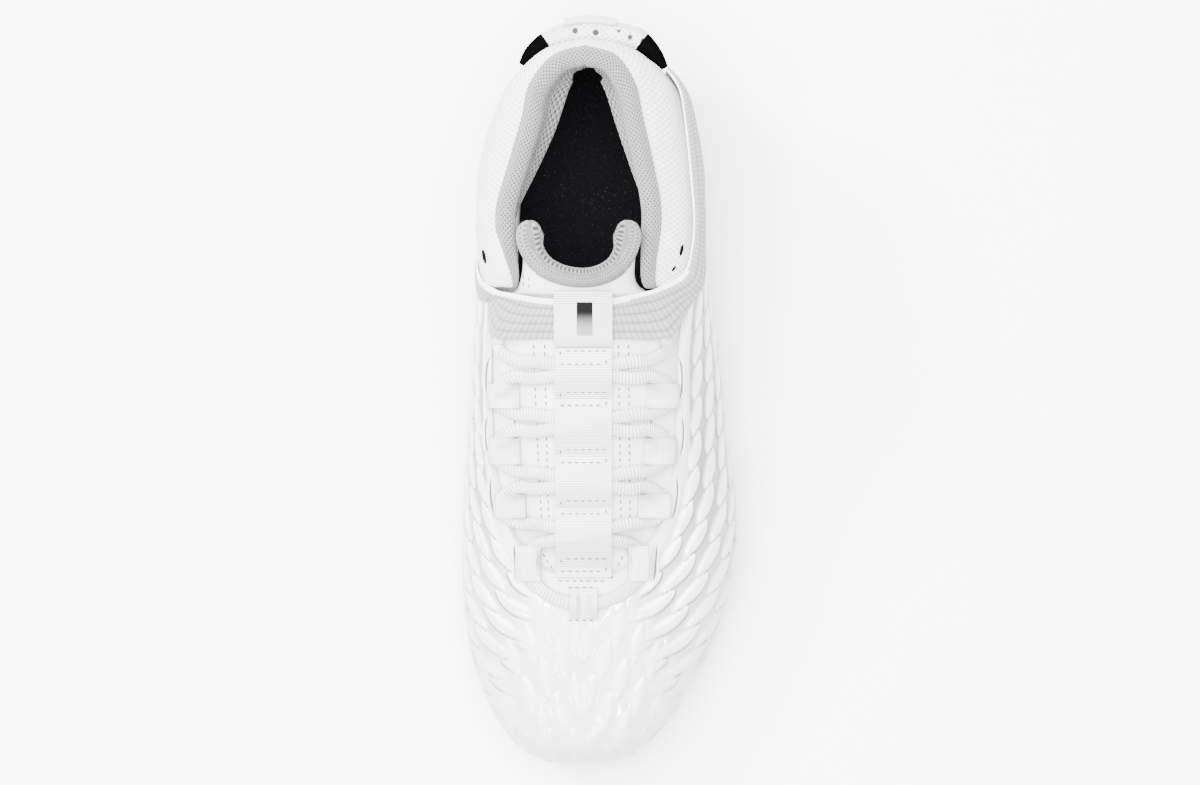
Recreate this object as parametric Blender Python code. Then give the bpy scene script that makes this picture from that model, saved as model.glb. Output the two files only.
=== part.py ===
# American football cleat, wearer's left shoe. Metres, +Z up, toe towards -Y, outer side towards +X.
# The shoe stands on its studs at z = 0, with the middle of its length and width at the origin.
import math
from bisect import bisect_right

import bmesh
import bpy
from mathutils import Vector
from mathutils.bvhtree import BVHTree

# Sizes of the shoe
SHELL_LENGTH = 0.2938        # moulded shell, from toe to heel
BALL_WIDTH = 0.110           # widest part of the forefoot
INSTEP_HEIGHT = 0.082        # ridge of the tongue above the plate, at the middle of the shoe
SHELL_HEIGHT = 0.080         # back of the shell above the plate
COLLAR_HEIGHT = 0.101        # rolled edge of the collar above the plate
TONGUE_HEIGHT = 0.111        # rolled edge of the tongue above the plate
STUD_HEIGHT = 0.0125
PLATE = 0.0042               # plate between the studs and the insole
LIP = 0.0030                 # side lip of the plate, above the plate's top
LIP_WALL = 0.0014
WALL = 0.0020                # moulded shell
STEP = 0.0007                # raised rim of the shell and raised heel counter
COLLAR_ROLL = 0.0040         # how far each step of the collar's rolled edge lies from the last
LINING = 0.0030              # lining of the collar, low down in the shell
TONGUE_WALL = 0.0032
INSOLE = 0.0040
CLEARANCE = 0.0003           # between two pieces that touch
TOE_SPRING = 0.0135          # rise of the plate at the tip of the toe
ARCH_RISE = 0.0035           # rise of the plate under the waist

STUD_RADIUS = 0.0078
STUD_SIDES = 10

STRIP_WIDTH = 0.0224
STRIP_THICK = 0.0012
STRIP_START, STRIP_END = 0.258, 0.569   # shares of SHELL_LENGTH
KEEPER_START, KEEPER_END = 0.5705, 0.643
KEEPER_THICK = 0.0012
STRAP_WIDTH = 0.0200
STRAP_THICK = 0.0018
STRAP_FRONT = 0.0590         # furthest that the strap lies in front of the middle of the ankle
STRAP_STATIONS = 31
STRAP_ROWS = 5
ANKLE_Y = 0.770              # middle of the ankle, as a share of SHELL_LENGTH
LACE_WIDTH = 0.0056
LACE_THICK = 0.0032
LACE_HUMP = 0.0012           # how far one row of lace rises over the other where they cross
LACE_SIDES = 6
LACE_STEPS = 2               # points of the lace in each stretch of its route
LOOP_THICK = 0.0010
LOOP_SPAN = 0.36             # length of the side loops, as a share of the distance between lace rows
LOOP_WIDTH = 0.0130
LOOP_ROWS, LOOP_COLUMNS = 4, 8
LOOP_ROOM = 0.0013           # width over which a loop clears what lies under it
LOOP_PAST = 0.0032           # how far a loop reaches past the lace's turn
LOW_LOOP_AT = 0.277          # lowest loops, over the sides of the lace's last turn
LOW_LOOP_LENGTH = 0.0140
LOW_LOOP_WIDTH = 0.0102
LOW_LOOP_PAST = 0.0050
TOE_LOOP_AT = 0.222          # small loop at the toe's end of the throat, as a share of SHELL_LENGTH
TOE_LOOP_WIDTH = 0.0110
TOE_LOOP_LENGTH = 0.0124
PULL_THICK = 0.0100
PULL_HEIGHT = 0.0140
PULL_LEVEL = 0.845           # middle of the pull above the plate, as a share of COLLAR_HEIGHT
PULL_SIDES = 10
PULL_STATIONS = 15
HEEL_X, HEEL_Y = -0.034, 0.890          # middle of the heel's curve: shares of BALL_WIDTH, SHELL_LENGTH
TAB_WIDTH = 0.0210
TAB_THICK = 0.0012
TAB_LOW, TAB_HIGH = 0.62, 0.905         # ends of the tab above the plate, as shares of COLLAR_HEIGHT
TAB_ROWS, TAB_COLUMNS = 15, 5

TOE_Y = -0.5 * SHELL_LENGTH - 0.0011
MIDDLE_X = -0.060 * BALL_WIDTH          # line of the strip and of the tongue's ridge
PLATE_TOP = STUD_HEIGHT + PLATE

RING = 28                    # stations along one side of the shell, from toe to heel
LOW_PART = 0.22              # share of the way up the shell that lies below its widest place
WAYS = [0.0, 0.05, 0.12, 0.22, 0.245, 0.33, 0.45, 0.57, 0.69, 0.80, 0.90, 0.93, 1.0]
RIM_START, RIM_END = 0.90, 0.93         # ways at which the shell's raised rim begins and is full
COUNTER_START = 0.80         # start of the raised heel counter, as a share of SHELL_LENGTH
COLLAR_START = 0.656         # front of the collar, as a share of SHELL_LENGTH
COLLAR_WAYS = [0.12, 0.245, 0.45, 0.69, 0.90, 1.0]
HOLLOW = 0.0012              # how far the collar's cover sinks in between its curves
WAIST = 0.0035               # how far it sinks in under its rolled edge
TONGUE_SHARES = [0.292, 0.320, 0.355, 0.395, 0.440, 0.485, 0.530, 0.570, 0.604, 0.632]
TONGUE_FOOT = 0.010          # how far the tongue reaches on under the bottom of the throat
TONGUE_CURL = 98.0           # degrees that the tongue's sides turn back round the ankle
HALF_COLUMNS = 5             # columns of the tongue from its ridge to one side
TUCK = 0.0011                # room between the shell's wall and the tongue under its edge
UNDER = 0.86                 # how far up the shell the tongue's side edge reaches
LOW_TURN_INNER = -0.262      # lowest turns of the lace, as shares of BALL_WIDTH
LOW_TURN_OUTER = 0.150
RIB_START, RIB_END = 0.46, 0.79         # stiffening rib under the waist, shares of SHELL_LENGTH
RIB_WIDE = 0.30              # half width of the rib, as a share of the plate's
RIB_DEEP = 0.0036
BULGE, SEAM, PAD = 1, 5, 9   # columns of y in the collar's table

# Outline of the shell from above. y is a share of SHELL_LENGTH from the toe. inner, outer and tuck are
# shares of BALL_WIDTH: the two sides, and how far the edge on the plate lies inside them. mid is the
# height of the widest place above the plate, as a share of SHELL_HEIGHT. proud is how far the
# plate's side stands outside the shell (or, below zero, inside it), as a share of BALL_WIDTH.
OUTLINE = [
    # y,    inner,  outer,  tuck,  mid,   proud
    (0.000, -0.082, -0.082, 0.036, 0.090, 0.012),
    (0.005, -0.216, 0.070, 0.036, 0.090, 0.012),
    (0.020, -0.284, 0.146, 0.036, 0.090, 0.012),
    (0.060, -0.374, 0.250, 0.034, 0.095, 0.012),
    (0.120, -0.444, 0.347, 0.032, 0.110, 0.012),
    (0.200, -0.488, 0.437, 0.032, 0.140, 0.012),
    (0.280, -0.497, 0.489, 0.036, 0.170, 0.009),
    (0.360, -0.493, 0.491, 0.045, 0.200, 0.000),
    (0.450, -0.479, 0.458, 0.075, 0.260, -0.025),
    (0.550, -0.462, 0.430, 0.090, 0.320, -0.045),
    (0.650, -0.442, 0.395, 0.085, 0.330, -0.045),
    (0.750, -0.424, 0.366, 0.075, 0.330, -0.040),
    (0.850, -0.388, 0.342, 0.065, 0.330, -0.032),
    (0.930, -0.310, 0.262, 0.058, 0.330, -0.026),
    (0.975, -0.205, 0.162, 0.055, 0.330, -0.024),
    (1.000, -0.025, -0.025, 0.050, 0.340, -0.022),
]

# Top edge of the shell: throat, then ankle. row is the outline's y. y is a share of SHELL_LENGTH,
# inner and outer are shares of BALL_WIDTH, z is a share of SHELL_HEIGHT above the plate, lean is the
# slope of the wall there in degrees, and full is how square the wall's shoulder is.
TOP_EDGE = [
    # row,  y,     inner,  outer,  z,     lean, full
    (0.000, 0.262, -0.060, -0.060, 0.604, 24.0, 0.62),
    (0.005, 0.262, -0.108, -0.012, 0.603, 24.0, 0.61),
    (0.020, 0.262, -0.150, 0.030, 0.600, 24.0, 0.60),
    (0.060, 0.266, -0.200, 0.085, 0.590, 24.0, 0.58),
    (0.120, 0.284, -0.262, 0.145, 0.590, 26.0, 0.56),
    (0.200, 0.325, -0.328, 0.215, 0.620, 30.0, 0.56),
    (0.280, 0.375, -0.372, 0.262, 0.660, 38.0, 0.56),
    (0.360, 0.425, -0.395, 0.285, 0.720, 46.0, 0.56),
    (0.450, 0.490, -0.405, 0.292, 0.800, 54.0, 0.56),
    (0.550, 0.565, -0.405, 0.298, 0.900, 62.0, 0.55),
    (0.650, 0.655, -0.395, 0.322, 0.980, 72.0, 0.54),
    (0.750, 0.752, -0.396, 0.338, 0.860, 76.0, 0.54),
    (0.850, 0.848, -0.362, 0.308, 0.790, 78.0, 0.54),
    (0.930, 0.918, -0.290, 0.240, 0.850, 80.0, 0.54),
    (0.975, 0.958, -0.190, 0.146, 0.920, 82.0, 0.54),
    (1.000, 0.978, -0.032, -0.032, 0.960, 84.0, 0.54),
]

# Rise of the plate along the shoe: share of SHELL_LENGTH, share of TOE_SPRING, share of ARCH_RISE.
PLATE_LINE = [
    # y,    toe,  arch
    (0.000, 1.00, 0.00),
    (0.050, 0.66, 0.00),
    (0.120, 0.32, 0.00),
    (0.200, 0.08, 0.00),
    (0.270, 0.00, 0.00),
    (0.420, 0.00, 0.00),
    (0.520, 0.00, 0.75),
    (0.600, 0.00, 1.00),
    (0.690, 0.00, 0.55),
    (0.770, 0.00, 0.00),
    (1.000, 0.00, 0.00),
]

# Studs: y as a share of SHELL_LENGTH, place across as a share of the plate's own half width there,
# below zero on the inner side.
STUDS = [
    # y,   across
    (0.155, -0.30),
    (0.155, 0.30),
    (0.215, -0.74),
    (0.225, 0.74),
    (0.290, 0.00),
    (0.315, -0.78),
    (0.330, 0.78),
    (0.410, -0.74),
    (0.425, 0.74),
    (0.790, -0.66),
    (0.790, 0.66),
    (0.915, -0.52),
    (0.915, 0.52),
]

# Side of a stud, from its tip: radius as a share of STUD_RADIUS, height as a share of STUD_HEIGHT.
STUD_SIDE = [
    # radius, up
    (0.615, 0.00),
    (0.675, 0.08),
    (0.860, 0.78),
    (1.100, 0.90),
    (1.240, 1.15),
]

# Ridge of the tongue: y as a share of SHELL_LENGTH, z as a share of INSTEP_HEIGHT above the plate.
RIDGE = [
    # y,    z
    (0.215, 0.480),
    (0.262, 0.555),
    (0.320, 0.680),
    (0.380, 0.775),
    (0.450, 0.880),
    (0.520, 0.970),
    (0.580, 1.070),
    (0.640, 1.210),
]

# Upper part of the tongue, above the throat. y and back are shares of SHELL_LENGTH: the middle, and
# how much further back the sides end. inner and outer are half widths as shares of BALL_WIDTH. z and
# drop are shares of TONGUE_HEIGHT: the middle above the plate, and how far the sides hang below it.
# thick is a share of TONGUE_WALL.
TONGUE_TOP = [
    # y,    z,     inner, outer, back,  drop,  thick
    (0.640, 0.930, 0.236, 0.204, 0.010, 0.130, 1.00),
    (0.646, 0.962, 0.214, 0.186, 0.050, 0.070, 1.40),
    (0.650, 0.984, 0.236, 0.204, 0.076, 0.055, 2.00),
    (0.652, 1.000, 0.241, 0.210, 0.084, 0.050, 2.10),
]

# Thickness of the tongue's padded rim from its middle to the ends of its two wings, as shares of
# its thickness in the middle.
WING = [1.00, 1.03, 1.12, 1.36, 1.62, 0.80]

# Collar. row is the outline's y. Each curve's y is a share of SHELL_LENGTH, its inner and outer side
# are shares of BALL_WIDTH and its z is a share of COLLAR_HEIGHT above the plate. bulge is the widest
# place outside, seam the edge of the lining, pad the innermost place of the padding.
COLLAR = [
    # row,  bulge y, inner,  outer, z,     seam y, inner,  outer, z,     pad y, inner,  outer,  z
    (0.650, 0.644, -0.420, 0.344, 0.800, 0.650, -0.355, 0.215, 0.960, 0.660, -0.350, 0.210, 0.800),
    (0.700, 0.705, -0.438, 0.348, 0.800, 0.712, -0.368, 0.216, 0.985, 0.712, -0.318, 0.182, 0.760),
    (0.750, 0.750, -0.442, 0.350, 0.780, 0.756, -0.368, 0.218, 0.990, 0.755, -0.292, 0.165, 0.720),
    (0.810, 0.806, -0.436, 0.346, 0.770, 0.814, -0.325, 0.190, 0.985, 0.806, -0.228, 0.118, 0.680),
    (0.870, 0.864, -0.398, 0.318, 0.780, 0.872, -0.280, 0.155, 0.985, 0.862, -0.160, 0.066, 0.680),
    (0.930, 0.918, -0.328, 0.270, 0.800, 0.918, -0.252, 0.128, 0.990, 0.915, -0.112, 0.018, 0.690),
    (0.975, 0.956, -0.192, 0.154, 0.820, 0.956, -0.170, 0.060, 0.998, 0.938, -0.078, -0.018, 0.700),
    (1.000, 0.968, -0.034, -0.034, 0.830, 0.970, -0.054, -0.054, 1.000, 0.942, -0.048, -0.048, 0.700),
]

# Lace rows that cross under the strip, and the places between them where the strip is stitched
# down, both as shares of SHELL_LENGTH.
CROSSINGS = [0.320, 0.391, 0.469, 0.540]
STITCHED = [0.270, 0.354, 0.424, 0.501]

# Turns of the lace above each crossing: how far the inner and outer turns reach out, as shares of
# BALL_WIDTH.
TURNS = [
    # inner,  outer
    (-0.358, 0.228),
    (-0.376, 0.246),
    (-0.378, 0.256),
    (-0.366, 0.240),
]

# Elastic strap. angle goes round the ankle from the front, towards the outer side. low and high are
# the strap's edges above the plate, as shares of COLLAR_HEIGHT.
STRAP = [
    # angle, low,   high
    (-61.0, 0.735, 0.845),
    (-54.0, 0.735, 0.895),
    (-40.0, 0.800, 0.945),
    (-20.0, 0.862, 0.980),
    (0.0, 0.882, 0.990),
    (20.0, 0.866, 0.980),
    (40.0, 0.812, 0.950),
    (60.0, 0.740, 0.910),
    (85.0, 0.690, 0.885),
    (115.0, 0.680, 0.870),
    (148.0, 0.700, 0.850),
]

# Heel pull. angle goes round the heel from its back, towards the outer side. thick and tall are
# shares of PULL_THICK and PULL_HEIGHT.
PULL = [
    # angle, thick, tall
    (-58.0, 0.30, 0.45),
    (-48.0, 0.58, 0.80),
    (-32.0, 0.84, 0.98),
    (-12.0, 1.00, 1.00),
    (12.0, 1.00, 1.00),
    (34.0, 0.98, 0.98),
    (50.0, 0.62, 0.80),
    (62.0, 0.30, 0.45),
]

MATERIALS = {
    # name:  colour, roughness
    "shell_gloss": ((0.86, 0.86, 0.87), 0.25),
    "plate": ((0.84, 0.84, 0.85), 0.35),
    "knit": ((0.85, 0.85, 0.86), 0.85),
    "webbing": ((0.83, 0.83, 0.84), 0.75),
    "elastic": ((0.74, 0.74, 0.75), 0.75),
    "lace": ((0.86, 0.86, 0.86), 0.80),
    "sock_black": ((0.010, 0.010, 0.011), 0.90),
    "pull": ((0.85, 0.85, 0.86), 0.80),
}


# Curves and tables

def spline(rows, column, at):
    """Smooth curve through one column of a table whose first column rises."""
    keys = [row[0] for row in rows]
    at = min(max(at, keys[0]), keys[-1])
    i = min(max(bisect_right(keys, at) - 1, 0), len(keys) - 2)
    span = keys[i + 1] - keys[i]

    def slope(j):
        if j == 0:
            return (rows[1][column] - rows[0][column]) / (keys[1] - keys[0])
        if j == len(keys) - 1:
            return (rows[-1][column] - rows[-2][column]) / (keys[-1] - keys[-2])
        return (rows[j + 1][column] - rows[j - 1][column]) / (keys[j + 1] - keys[j - 1])

    t = (at - keys[i]) / span
    start = rows[i][column]
    end = rows[i + 1][column]
    return ((2 * t ** 3 - 3 * t ** 2 + 1) * start + (t ** 3 - 2 * t ** 2 + t) * span * slope(i)
            + (3 * t ** 2 - 2 * t ** 3) * end + (t ** 3 - t ** 2) * span * slope(i + 1))


def turn_of(share):
    """Angle from the toe, 0, to the heel, pi, of a share of the length: it makes round ends."""
    return math.acos(1 - 2 * min(max(share, 0.0), 1.0))


def by_turn(rows):
    return [(turn_of(row[0]),) + tuple(row[1:]) for row in rows]


OUTLINE_TURN = by_turn(OUTLINE)
TOP_TURN = by_turn(TOP_EDGE)
COLLAR_TURN = by_turn(COLLAR)


def bezier(p0, p1, p2, p3, t):
    s = 1 - t
    return p0 * s ** 3 + p1 * (3 * s * s * t) + p2 * (3 * s * t * t) + p3 * t ** 3


def smooth(points, per_span, closed=False):
    """Points along a smooth curve that passes through the given points."""
    count = len(points)
    spans = count if closed else count - 1
    result = []
    for i in range(spans):
        a = points[(i - 1) % count] if closed or i > 0 else points[0]
        b = points[i]
        c = points[(i + 1) % count]
        d = points[(i + 2) % count] if closed or i + 2 < count else points[-1]
        for j in range(per_span):
            t = j / per_span
            result.append(0.5 * ((2 * b) + (c - a) * t + (2 * a - 5 * b + 4 * c - d) * t * t
                                 + (3 * b - a - 3 * c + d) * t ** 3))
    if not closed:
        result.append(points[-1].copy())
    return result


# The last: what every piece takes its shape from

def share_y(share):
    return TOE_Y + share * SHELL_LENGTH


def plate_top(y):
    share = (y - TOE_Y) / SHELL_LENGTH
    return (PLATE_TOP + TOE_SPRING * spline(PLATE_LINE, 1, share)
            + ARCH_RISE * spline(PLATE_LINE, 2, share))


def side_column(side):
    return 1 if side < 0 else 2


def widest(side, turn):
    """Widest place of the shell at a turn, on the inner (-1) or outer (1) side."""
    y = TOE_Y + SHELL_LENGTH * 0.5 * (1 - math.cos(turn))
    x = BALL_WIDTH * spline(OUTLINE_TURN, side_column(side), turn)
    z = plate_top(y) + SHELL_HEIGHT * spline(OUTLINE_TURN, 4, turn)
    return Vector((x, y, z))


def outward(side, turn):
    """Level direction that points out of the outline."""
    step = 0.01
    if turn < step:
        return Vector((0, -1, 0))
    if turn > math.pi - step:
        return Vector((0, 1, 0))
    along = widest(side, turn + step) - widest(side, turn - step)
    return Vector((side * abs(along.y), -side * along.x, 0)).normalized()


def foot_edge(side, turn):
    """Edge of the shell on the plate."""
    place = widest(side, turn) - outward(side, turn) * (BALL_WIDTH * spline(OUTLINE_TURN, 3, turn))
    place.z = plate_top(place.y) + CLEARANCE
    return place


def top_edge(side, turn):
    column = 2 if side < 0 else 3
    return Vector((BALL_WIDTH * spline(TOP_TURN, column, turn),
                   share_y(spline(TOP_TURN, 1, turn)),
                   PLATE_TOP + SHELL_HEIGHT * spline(TOP_TURN, 4, turn)))


def shell_skin(side, turn, way):
    """Outside of the last, from the plate (way 0) to the shell's top edge (way 1)."""
    foot = foot_edge(side, turn)
    wide = widest(side, turn)
    if way < LOW_PART:
        out = wide - foot
        low = foot + Vector((out.x * 0.55, out.y * 0.55, out.z * 0.30))
        high = wide - Vector((0, 0, out.z * 0.50))
        return bezier(foot, low, high, wide, way / LOW_PART)
    top = top_edge(side, turn)
    run = top - wide
    lean = math.radians(spline(TOP_TURN, 5, turn))
    full = spline(TOP_TURN, 6, turn)
    level = Vector((run.x, run.y, 0))
    reach = level.length
    level.normalize()
    into = level * math.cos(lean) + Vector((0, 0, 1)) * math.sin(lean)
    first = wide + Vector((0, 0, run.z * full))
    last = top - into * (0.42 * math.hypot(reach, 0.55 * run.z))
    return bezier(wide, first, last, top, (way - LOW_PART) / (1 - LOW_PART))


def skin_normal(side, turn, way):
    step = 0.012
    low = max(way - step, 0.0)
    high = min(way + step, 1.0)
    up = shell_skin(side, turn, high) - shell_skin(side, turn, low)
    near_end = turn < step or turn > math.pi - step
    if near_end:
        inside = min(max(turn, step), math.pi - step)
        along = shell_skin(1, inside, way) - shell_skin(-1, inside, way)
        along *= 1 if turn < step else -1
        return along.cross(up).normalized()
    along = shell_skin(side, turn + step, way) - shell_skin(side, turn - step, way)
    return (along.cross(up) * side).normalized()


def shell_point(side, turn, way, depth):
    """Point at a depth under the skin of the last: below zero is outside it."""
    return shell_skin(side, turn, way) - skin_normal(side, turn, way) * depth


def ramp(value, start, end):
    t = min(max((value - start) / (end - start), 0.0), 1.0)
    return t * t * (3 - 2 * t)


def raised(turn, way):
    """Raised rim along the top edge and raised counter round the heel."""
    rim = ramp(way, RIM_START, RIM_END)
    heel_turn = turn_of(COUNTER_START)
    behind = ramp(turn, heel_turn - 0.05, heel_turn + 0.05)
    counter = behind * ramp(way, 0.30, 0.24) * ramp(way, 0.02, 0.10)
    return STEP * max(rim, counter)


def around(count=RING):
    """Stations round the shoe: toe, outer side, heel, inner side."""
    stations = [(1, math.pi * i / count) for i in range(count + 1)]
    return stations + [(-1, math.pi * i / count) for i in range(count - 1, 0, -1)]


# Meshes

def material(name):
    found = bpy.data.materials.get(name)
    if found:
        return found
    colour, roughness = MATERIALS[name]
    made = bpy.data.materials.new(name)
    made.use_nodes = True
    shader = made.node_tree.nodes["Principled BSDF"]
    shader.inputs["Base Color"].default_value = (*colour, 1.0)
    shader.inputs["Roughness"].default_value = roughness
    shader.inputs["Metallic"].default_value = 0.0
    return made


def make_object(name, points, faces, material_name):
    mesh = bpy.data.meshes.new(name)
    mesh.from_pydata([tuple(p) for p in points], [], faces)
    work = bmesh.new()
    work.from_mesh(mesh)
    bmesh.ops.remove_doubles(work, verts=work.verts, dist=0.000001)
    bmesh.ops.recalc_face_normals(work, faces=work.faces)
    if work.calc_volume(signed=True) < 0:
        bmesh.ops.reverse_faces(work, faces=work.faces)
    work.to_mesh(mesh)
    work.free()
    mesh.shade_smooth()
    mesh.set_sharp_from_angle(angle=math.radians(40))
    made = bpy.data.objects.new(name, mesh)
    made.data.materials.append(material(material_name))
    bpy.context.scene.collection.objects.link(made)
    return made


def grid_faces(rows, columns, wrap_rows, wrap_columns, start=0):
    faces = []
    for i in range(rows if wrap_rows else rows - 1):
        for j in range(columns if wrap_columns else columns - 1):
            k = (i + 1) % rows
            m = (j + 1) % columns
            faces.append((start + i * columns + j, start + k * columns + j,
                          start + k * columns + m, start + i * columns + m))
    return faces


def loft(name, sections, material_name, closed=False):
    """Solid through closed sections: a ring when closed, or with its two ends filled."""
    columns = len(sections[0])
    points = [p for section in sections for p in section]
    faces = grid_faces(len(sections), columns, closed, True)
    if not closed:
        faces.append(tuple(reversed(range(columns))))
        last = (len(sections) - 1) * columns
        faces.append(tuple(range(last, last + columns)))
    return make_object(name, points, faces, material_name)


def sheet_solid(name, outer, inner, material_name):
    """Solid between two grids of points, a row for each station."""
    rows = len(outer)
    columns = len(outer[0])
    sections = [outer[i] + list(reversed(inner[i])) for i in range(rows)]
    points = [p for section in sections for p in section]
    faces = grid_faces(rows, 2 * columns, False, True)
    for row in (0, rows - 1):
        base = row * 2 * columns
        for j in range(columns - 1):
            last = base + 2 * columns - 1 - j
            faces.append((base + j, base + j + 1, last - 1, last))
    return make_object(name, points, faces, material_name)


def join_solids(name, objects):
    """One closed body from overlapping solids."""
    first = objects[0]
    for other in objects[1:]:
        cut = first.modifiers.new("join", "BOOLEAN")
        cut.operation = "UNION"
        cut.solver = "EXACT"
        cut.object = other
        graph = bpy.context.evaluated_depsgraph_get()
        joined = bpy.data.meshes.new_from_object(first.evaluated_get(graph))
        first.modifiers.clear()
        first.data = joined
    for other in objects[1:]:
        bpy.data.objects.remove(other)
    work = bmesh.new()
    work.from_mesh(first.data)
    bmesh.ops.remove_doubles(work, verts=work.verts, dist=0.00002)
    bmesh.ops.dissolve_degenerate(work, edges=work.edges, dist=0.00002)
    bmesh.ops.triangulate(work, faces=work.faces)
    work.to_mesh(first.data)
    work.free()
    first.name = name
    return first


class Cover:
    """Surfaces of finished pieces, for laying others on them."""

    def __init__(self, objects):
        self.trees = []
        for thing in objects:
            points = [v.co.copy() for v in thing.data.vertices]
            polygons = [tuple(p.vertices) for p in thing.data.polygons]
            self.trees.append(BVHTree.FromPolygons(points, polygons))

    def height(self, x, y):
        """Highest surface at a place seen from above."""
        best = None
        for tree in self.trees:
            hit = tree.ray_cast(Vector((x, y, 0.3)), Vector((0, 0, -1)))[0]
            if hit and (best is None or hit.z > best):
                best = hit.z
        return best

    def near(self, x, y, wide, deep):
        """Highest surface in a small oblong round a place."""
        return max(self.height(x + wide * i / 2, y + deep * j / 2)
                   for i in (-2, -1, 0, 1, 2) for j in (-2, -1, 0, 1, 2))

    def reach(self, centre, direction, far=0.15):
        """Distance from centre to the outermost surface along a direction."""
        best = None
        for tree in self.trees:
            hit = tree.ray_cast(centre + direction * far, -direction, far)[0]
            if hit:
                distance = (hit - centre).length
                best = distance if best is None else max(best, distance)
        return best


# Sole

def plate_edge(side, turn):
    """Outside of the plate's lip."""
    return widest(side, turn) + outward(side, turn) * (BALL_WIDTH * spline(OUTLINE_TURN, 5, turn))


def lip_inside(side, turn):
    """Inner wall of the lip, just outside the shell there."""
    foot = foot_edge(side, turn)
    out = outward(side, turn)
    edge = max((shell_skin(side, turn, LOW_PART * k / 8) - foot).dot(out)
               for k in range(9)
               if k == 0 or shell_skin(side, turn, LOW_PART * k / 8).z < foot.z + 1.6 * LIP)
    return foot + out * (edge + CLEARANCE)


def make_plate():
    stations = around()
    # Rings from the middle of the bottom, round the side and lip, to the plate's top.
    sections = []
    for side, turn in stations:
        out = outward(side, turn)
        inside = lip_inside(side, turn)
        edge = plate_edge(side, turn)
        if (edge - inside).dot(out) < LIP_WALL:
            edge = inside + out * LIP_WALL
        top = plate_top(inside.y)

        def ring_point(base, shift, height):
            return Vector((base.x + out.x * shift, base.y + out.y * shift, top + height))

        sections.append([
            ring_point(edge, -0.0050, -PLATE),
            ring_point(edge, -0.0014, -0.80 * PLATE),
            ring_point(edge, -0.0002, -0.40 * PLATE),
            ring_point(edge, 0.0, 0.5 * LIP),
            ring_point(edge, -0.3 * LIP_WALL, LIP),
            ring_point(inside, 0.0, LIP),
            ring_point(inside, 0.0, 0.0),
        ])
    columns = len(sections[0])
    count = len(sections)
    points = [p for section in sections for p in section]
    faces = grid_faces(count, columns, True, False)
    # The plate's top and bottom are filled across, from the outer side to the inner side.
    for column in (0, columns - 1):
        for i in range(RING):
            a = i * columns + column
            b = (i + 1) * columns + column
            c = ((count - i - 1) % count) * columns + column
            d = ((count - i) % count) * columns + column
            corner = [a, b, c, d]
            faces.append(tuple(dict.fromkeys(corner)))
    return make_object("outsole", points, faces, "plate")


def half_width(y):
    turn = turn_of((y - TOE_Y) / SHELL_LENGTH)
    left = plate_edge(-1, turn).x
    right = plate_edge(1, turn).x
    return 0.5 * (left + right), 0.5 * (right - left)


def turned(name, centre, rings, sides, material_name):
    """Upright round solid from (radius, z) rings, bottom first."""
    sections = [[Vector((centre.x + radius * math.cos(2 * math.pi * k / sides),
                         centre.y + radius * math.sin(2 * math.pi * k / sides), z))
                 for k in range(sides)] for radius, z in rings]
    return loft(name, sections, material_name)


def make_outsole():
    plate = make_plate()
    studs = []
    for number, (share, across) in enumerate(STUDS):
        y = share_y(share)
        middle, half = half_width(y)
        x = middle + across * half
        under = plate_top(y) - PLATE
        foot = max(0.0, under - STUD_HEIGHT)
        rings = [(STUD_RADIUS * wide, foot + (under - foot) * up) for wide, up in STUD_SIDE]
        studs.append(turned(f"stud_{number}", Vector((x, y, 0)), rings, STUD_SIDES, "plate"))
    # Stiffening rib under the waist
    rib = []
    for k in range(9):
        share = RIB_START + (RIB_END - RIB_START) * k / 8
        y = share_y(share)
        middle, half = half_width(y)
        wide = RIB_WIDE * half
        under = plate_top(y) - PLATE
        deep = RIB_DEEP * math.sin(math.pi * (k + 1) / 10)
        rib.append([Vector((middle - wide, y, under + 0.4 * PLATE)),
                    Vector((middle - 0.6 * wide, y, under - deep)),
                    Vector((middle + 0.6 * wide, y, under - deep)),
                    Vector((middle + wide, y, under + 0.4 * PLATE))])
    studs.append(loft("rib", rib, "plate"))
    return join_solids("outsole", [plate] + studs)


# Shell

def make_upper():
    stations = around()
    outer = [[shell_point(side, turn, way, -raised(turn, way)) for way in WAYS]
             for side, turn in stations]
    inner = [[shell_point(side, turn, way, WALL) for way in WAYS] for side, turn in stations]
    for row in range(len(stations)):
        inner[row][0].z = outer[row][0].z
    sections = [outer[i] + list(reversed(inner[i])) for i in range(len(stations))]
    return loft("upper", sections, "shell_gloss", closed=True)


# Collar

def collar_point(side, turn, first):
    """Point of one of the collar's curves: first is the table's column of its y."""
    column = first + (1 if side < 0 else 2)
    return Vector((BALL_WIDTH * spline(COLLAR_TURN, column, turn),
                   share_y(spline(COLLAR_TURN, first, turn)),
                   PLATE_TOP + COLLAR_HEIGHT * spline(COLLAR_TURN, first + 3, turn)))


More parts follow.
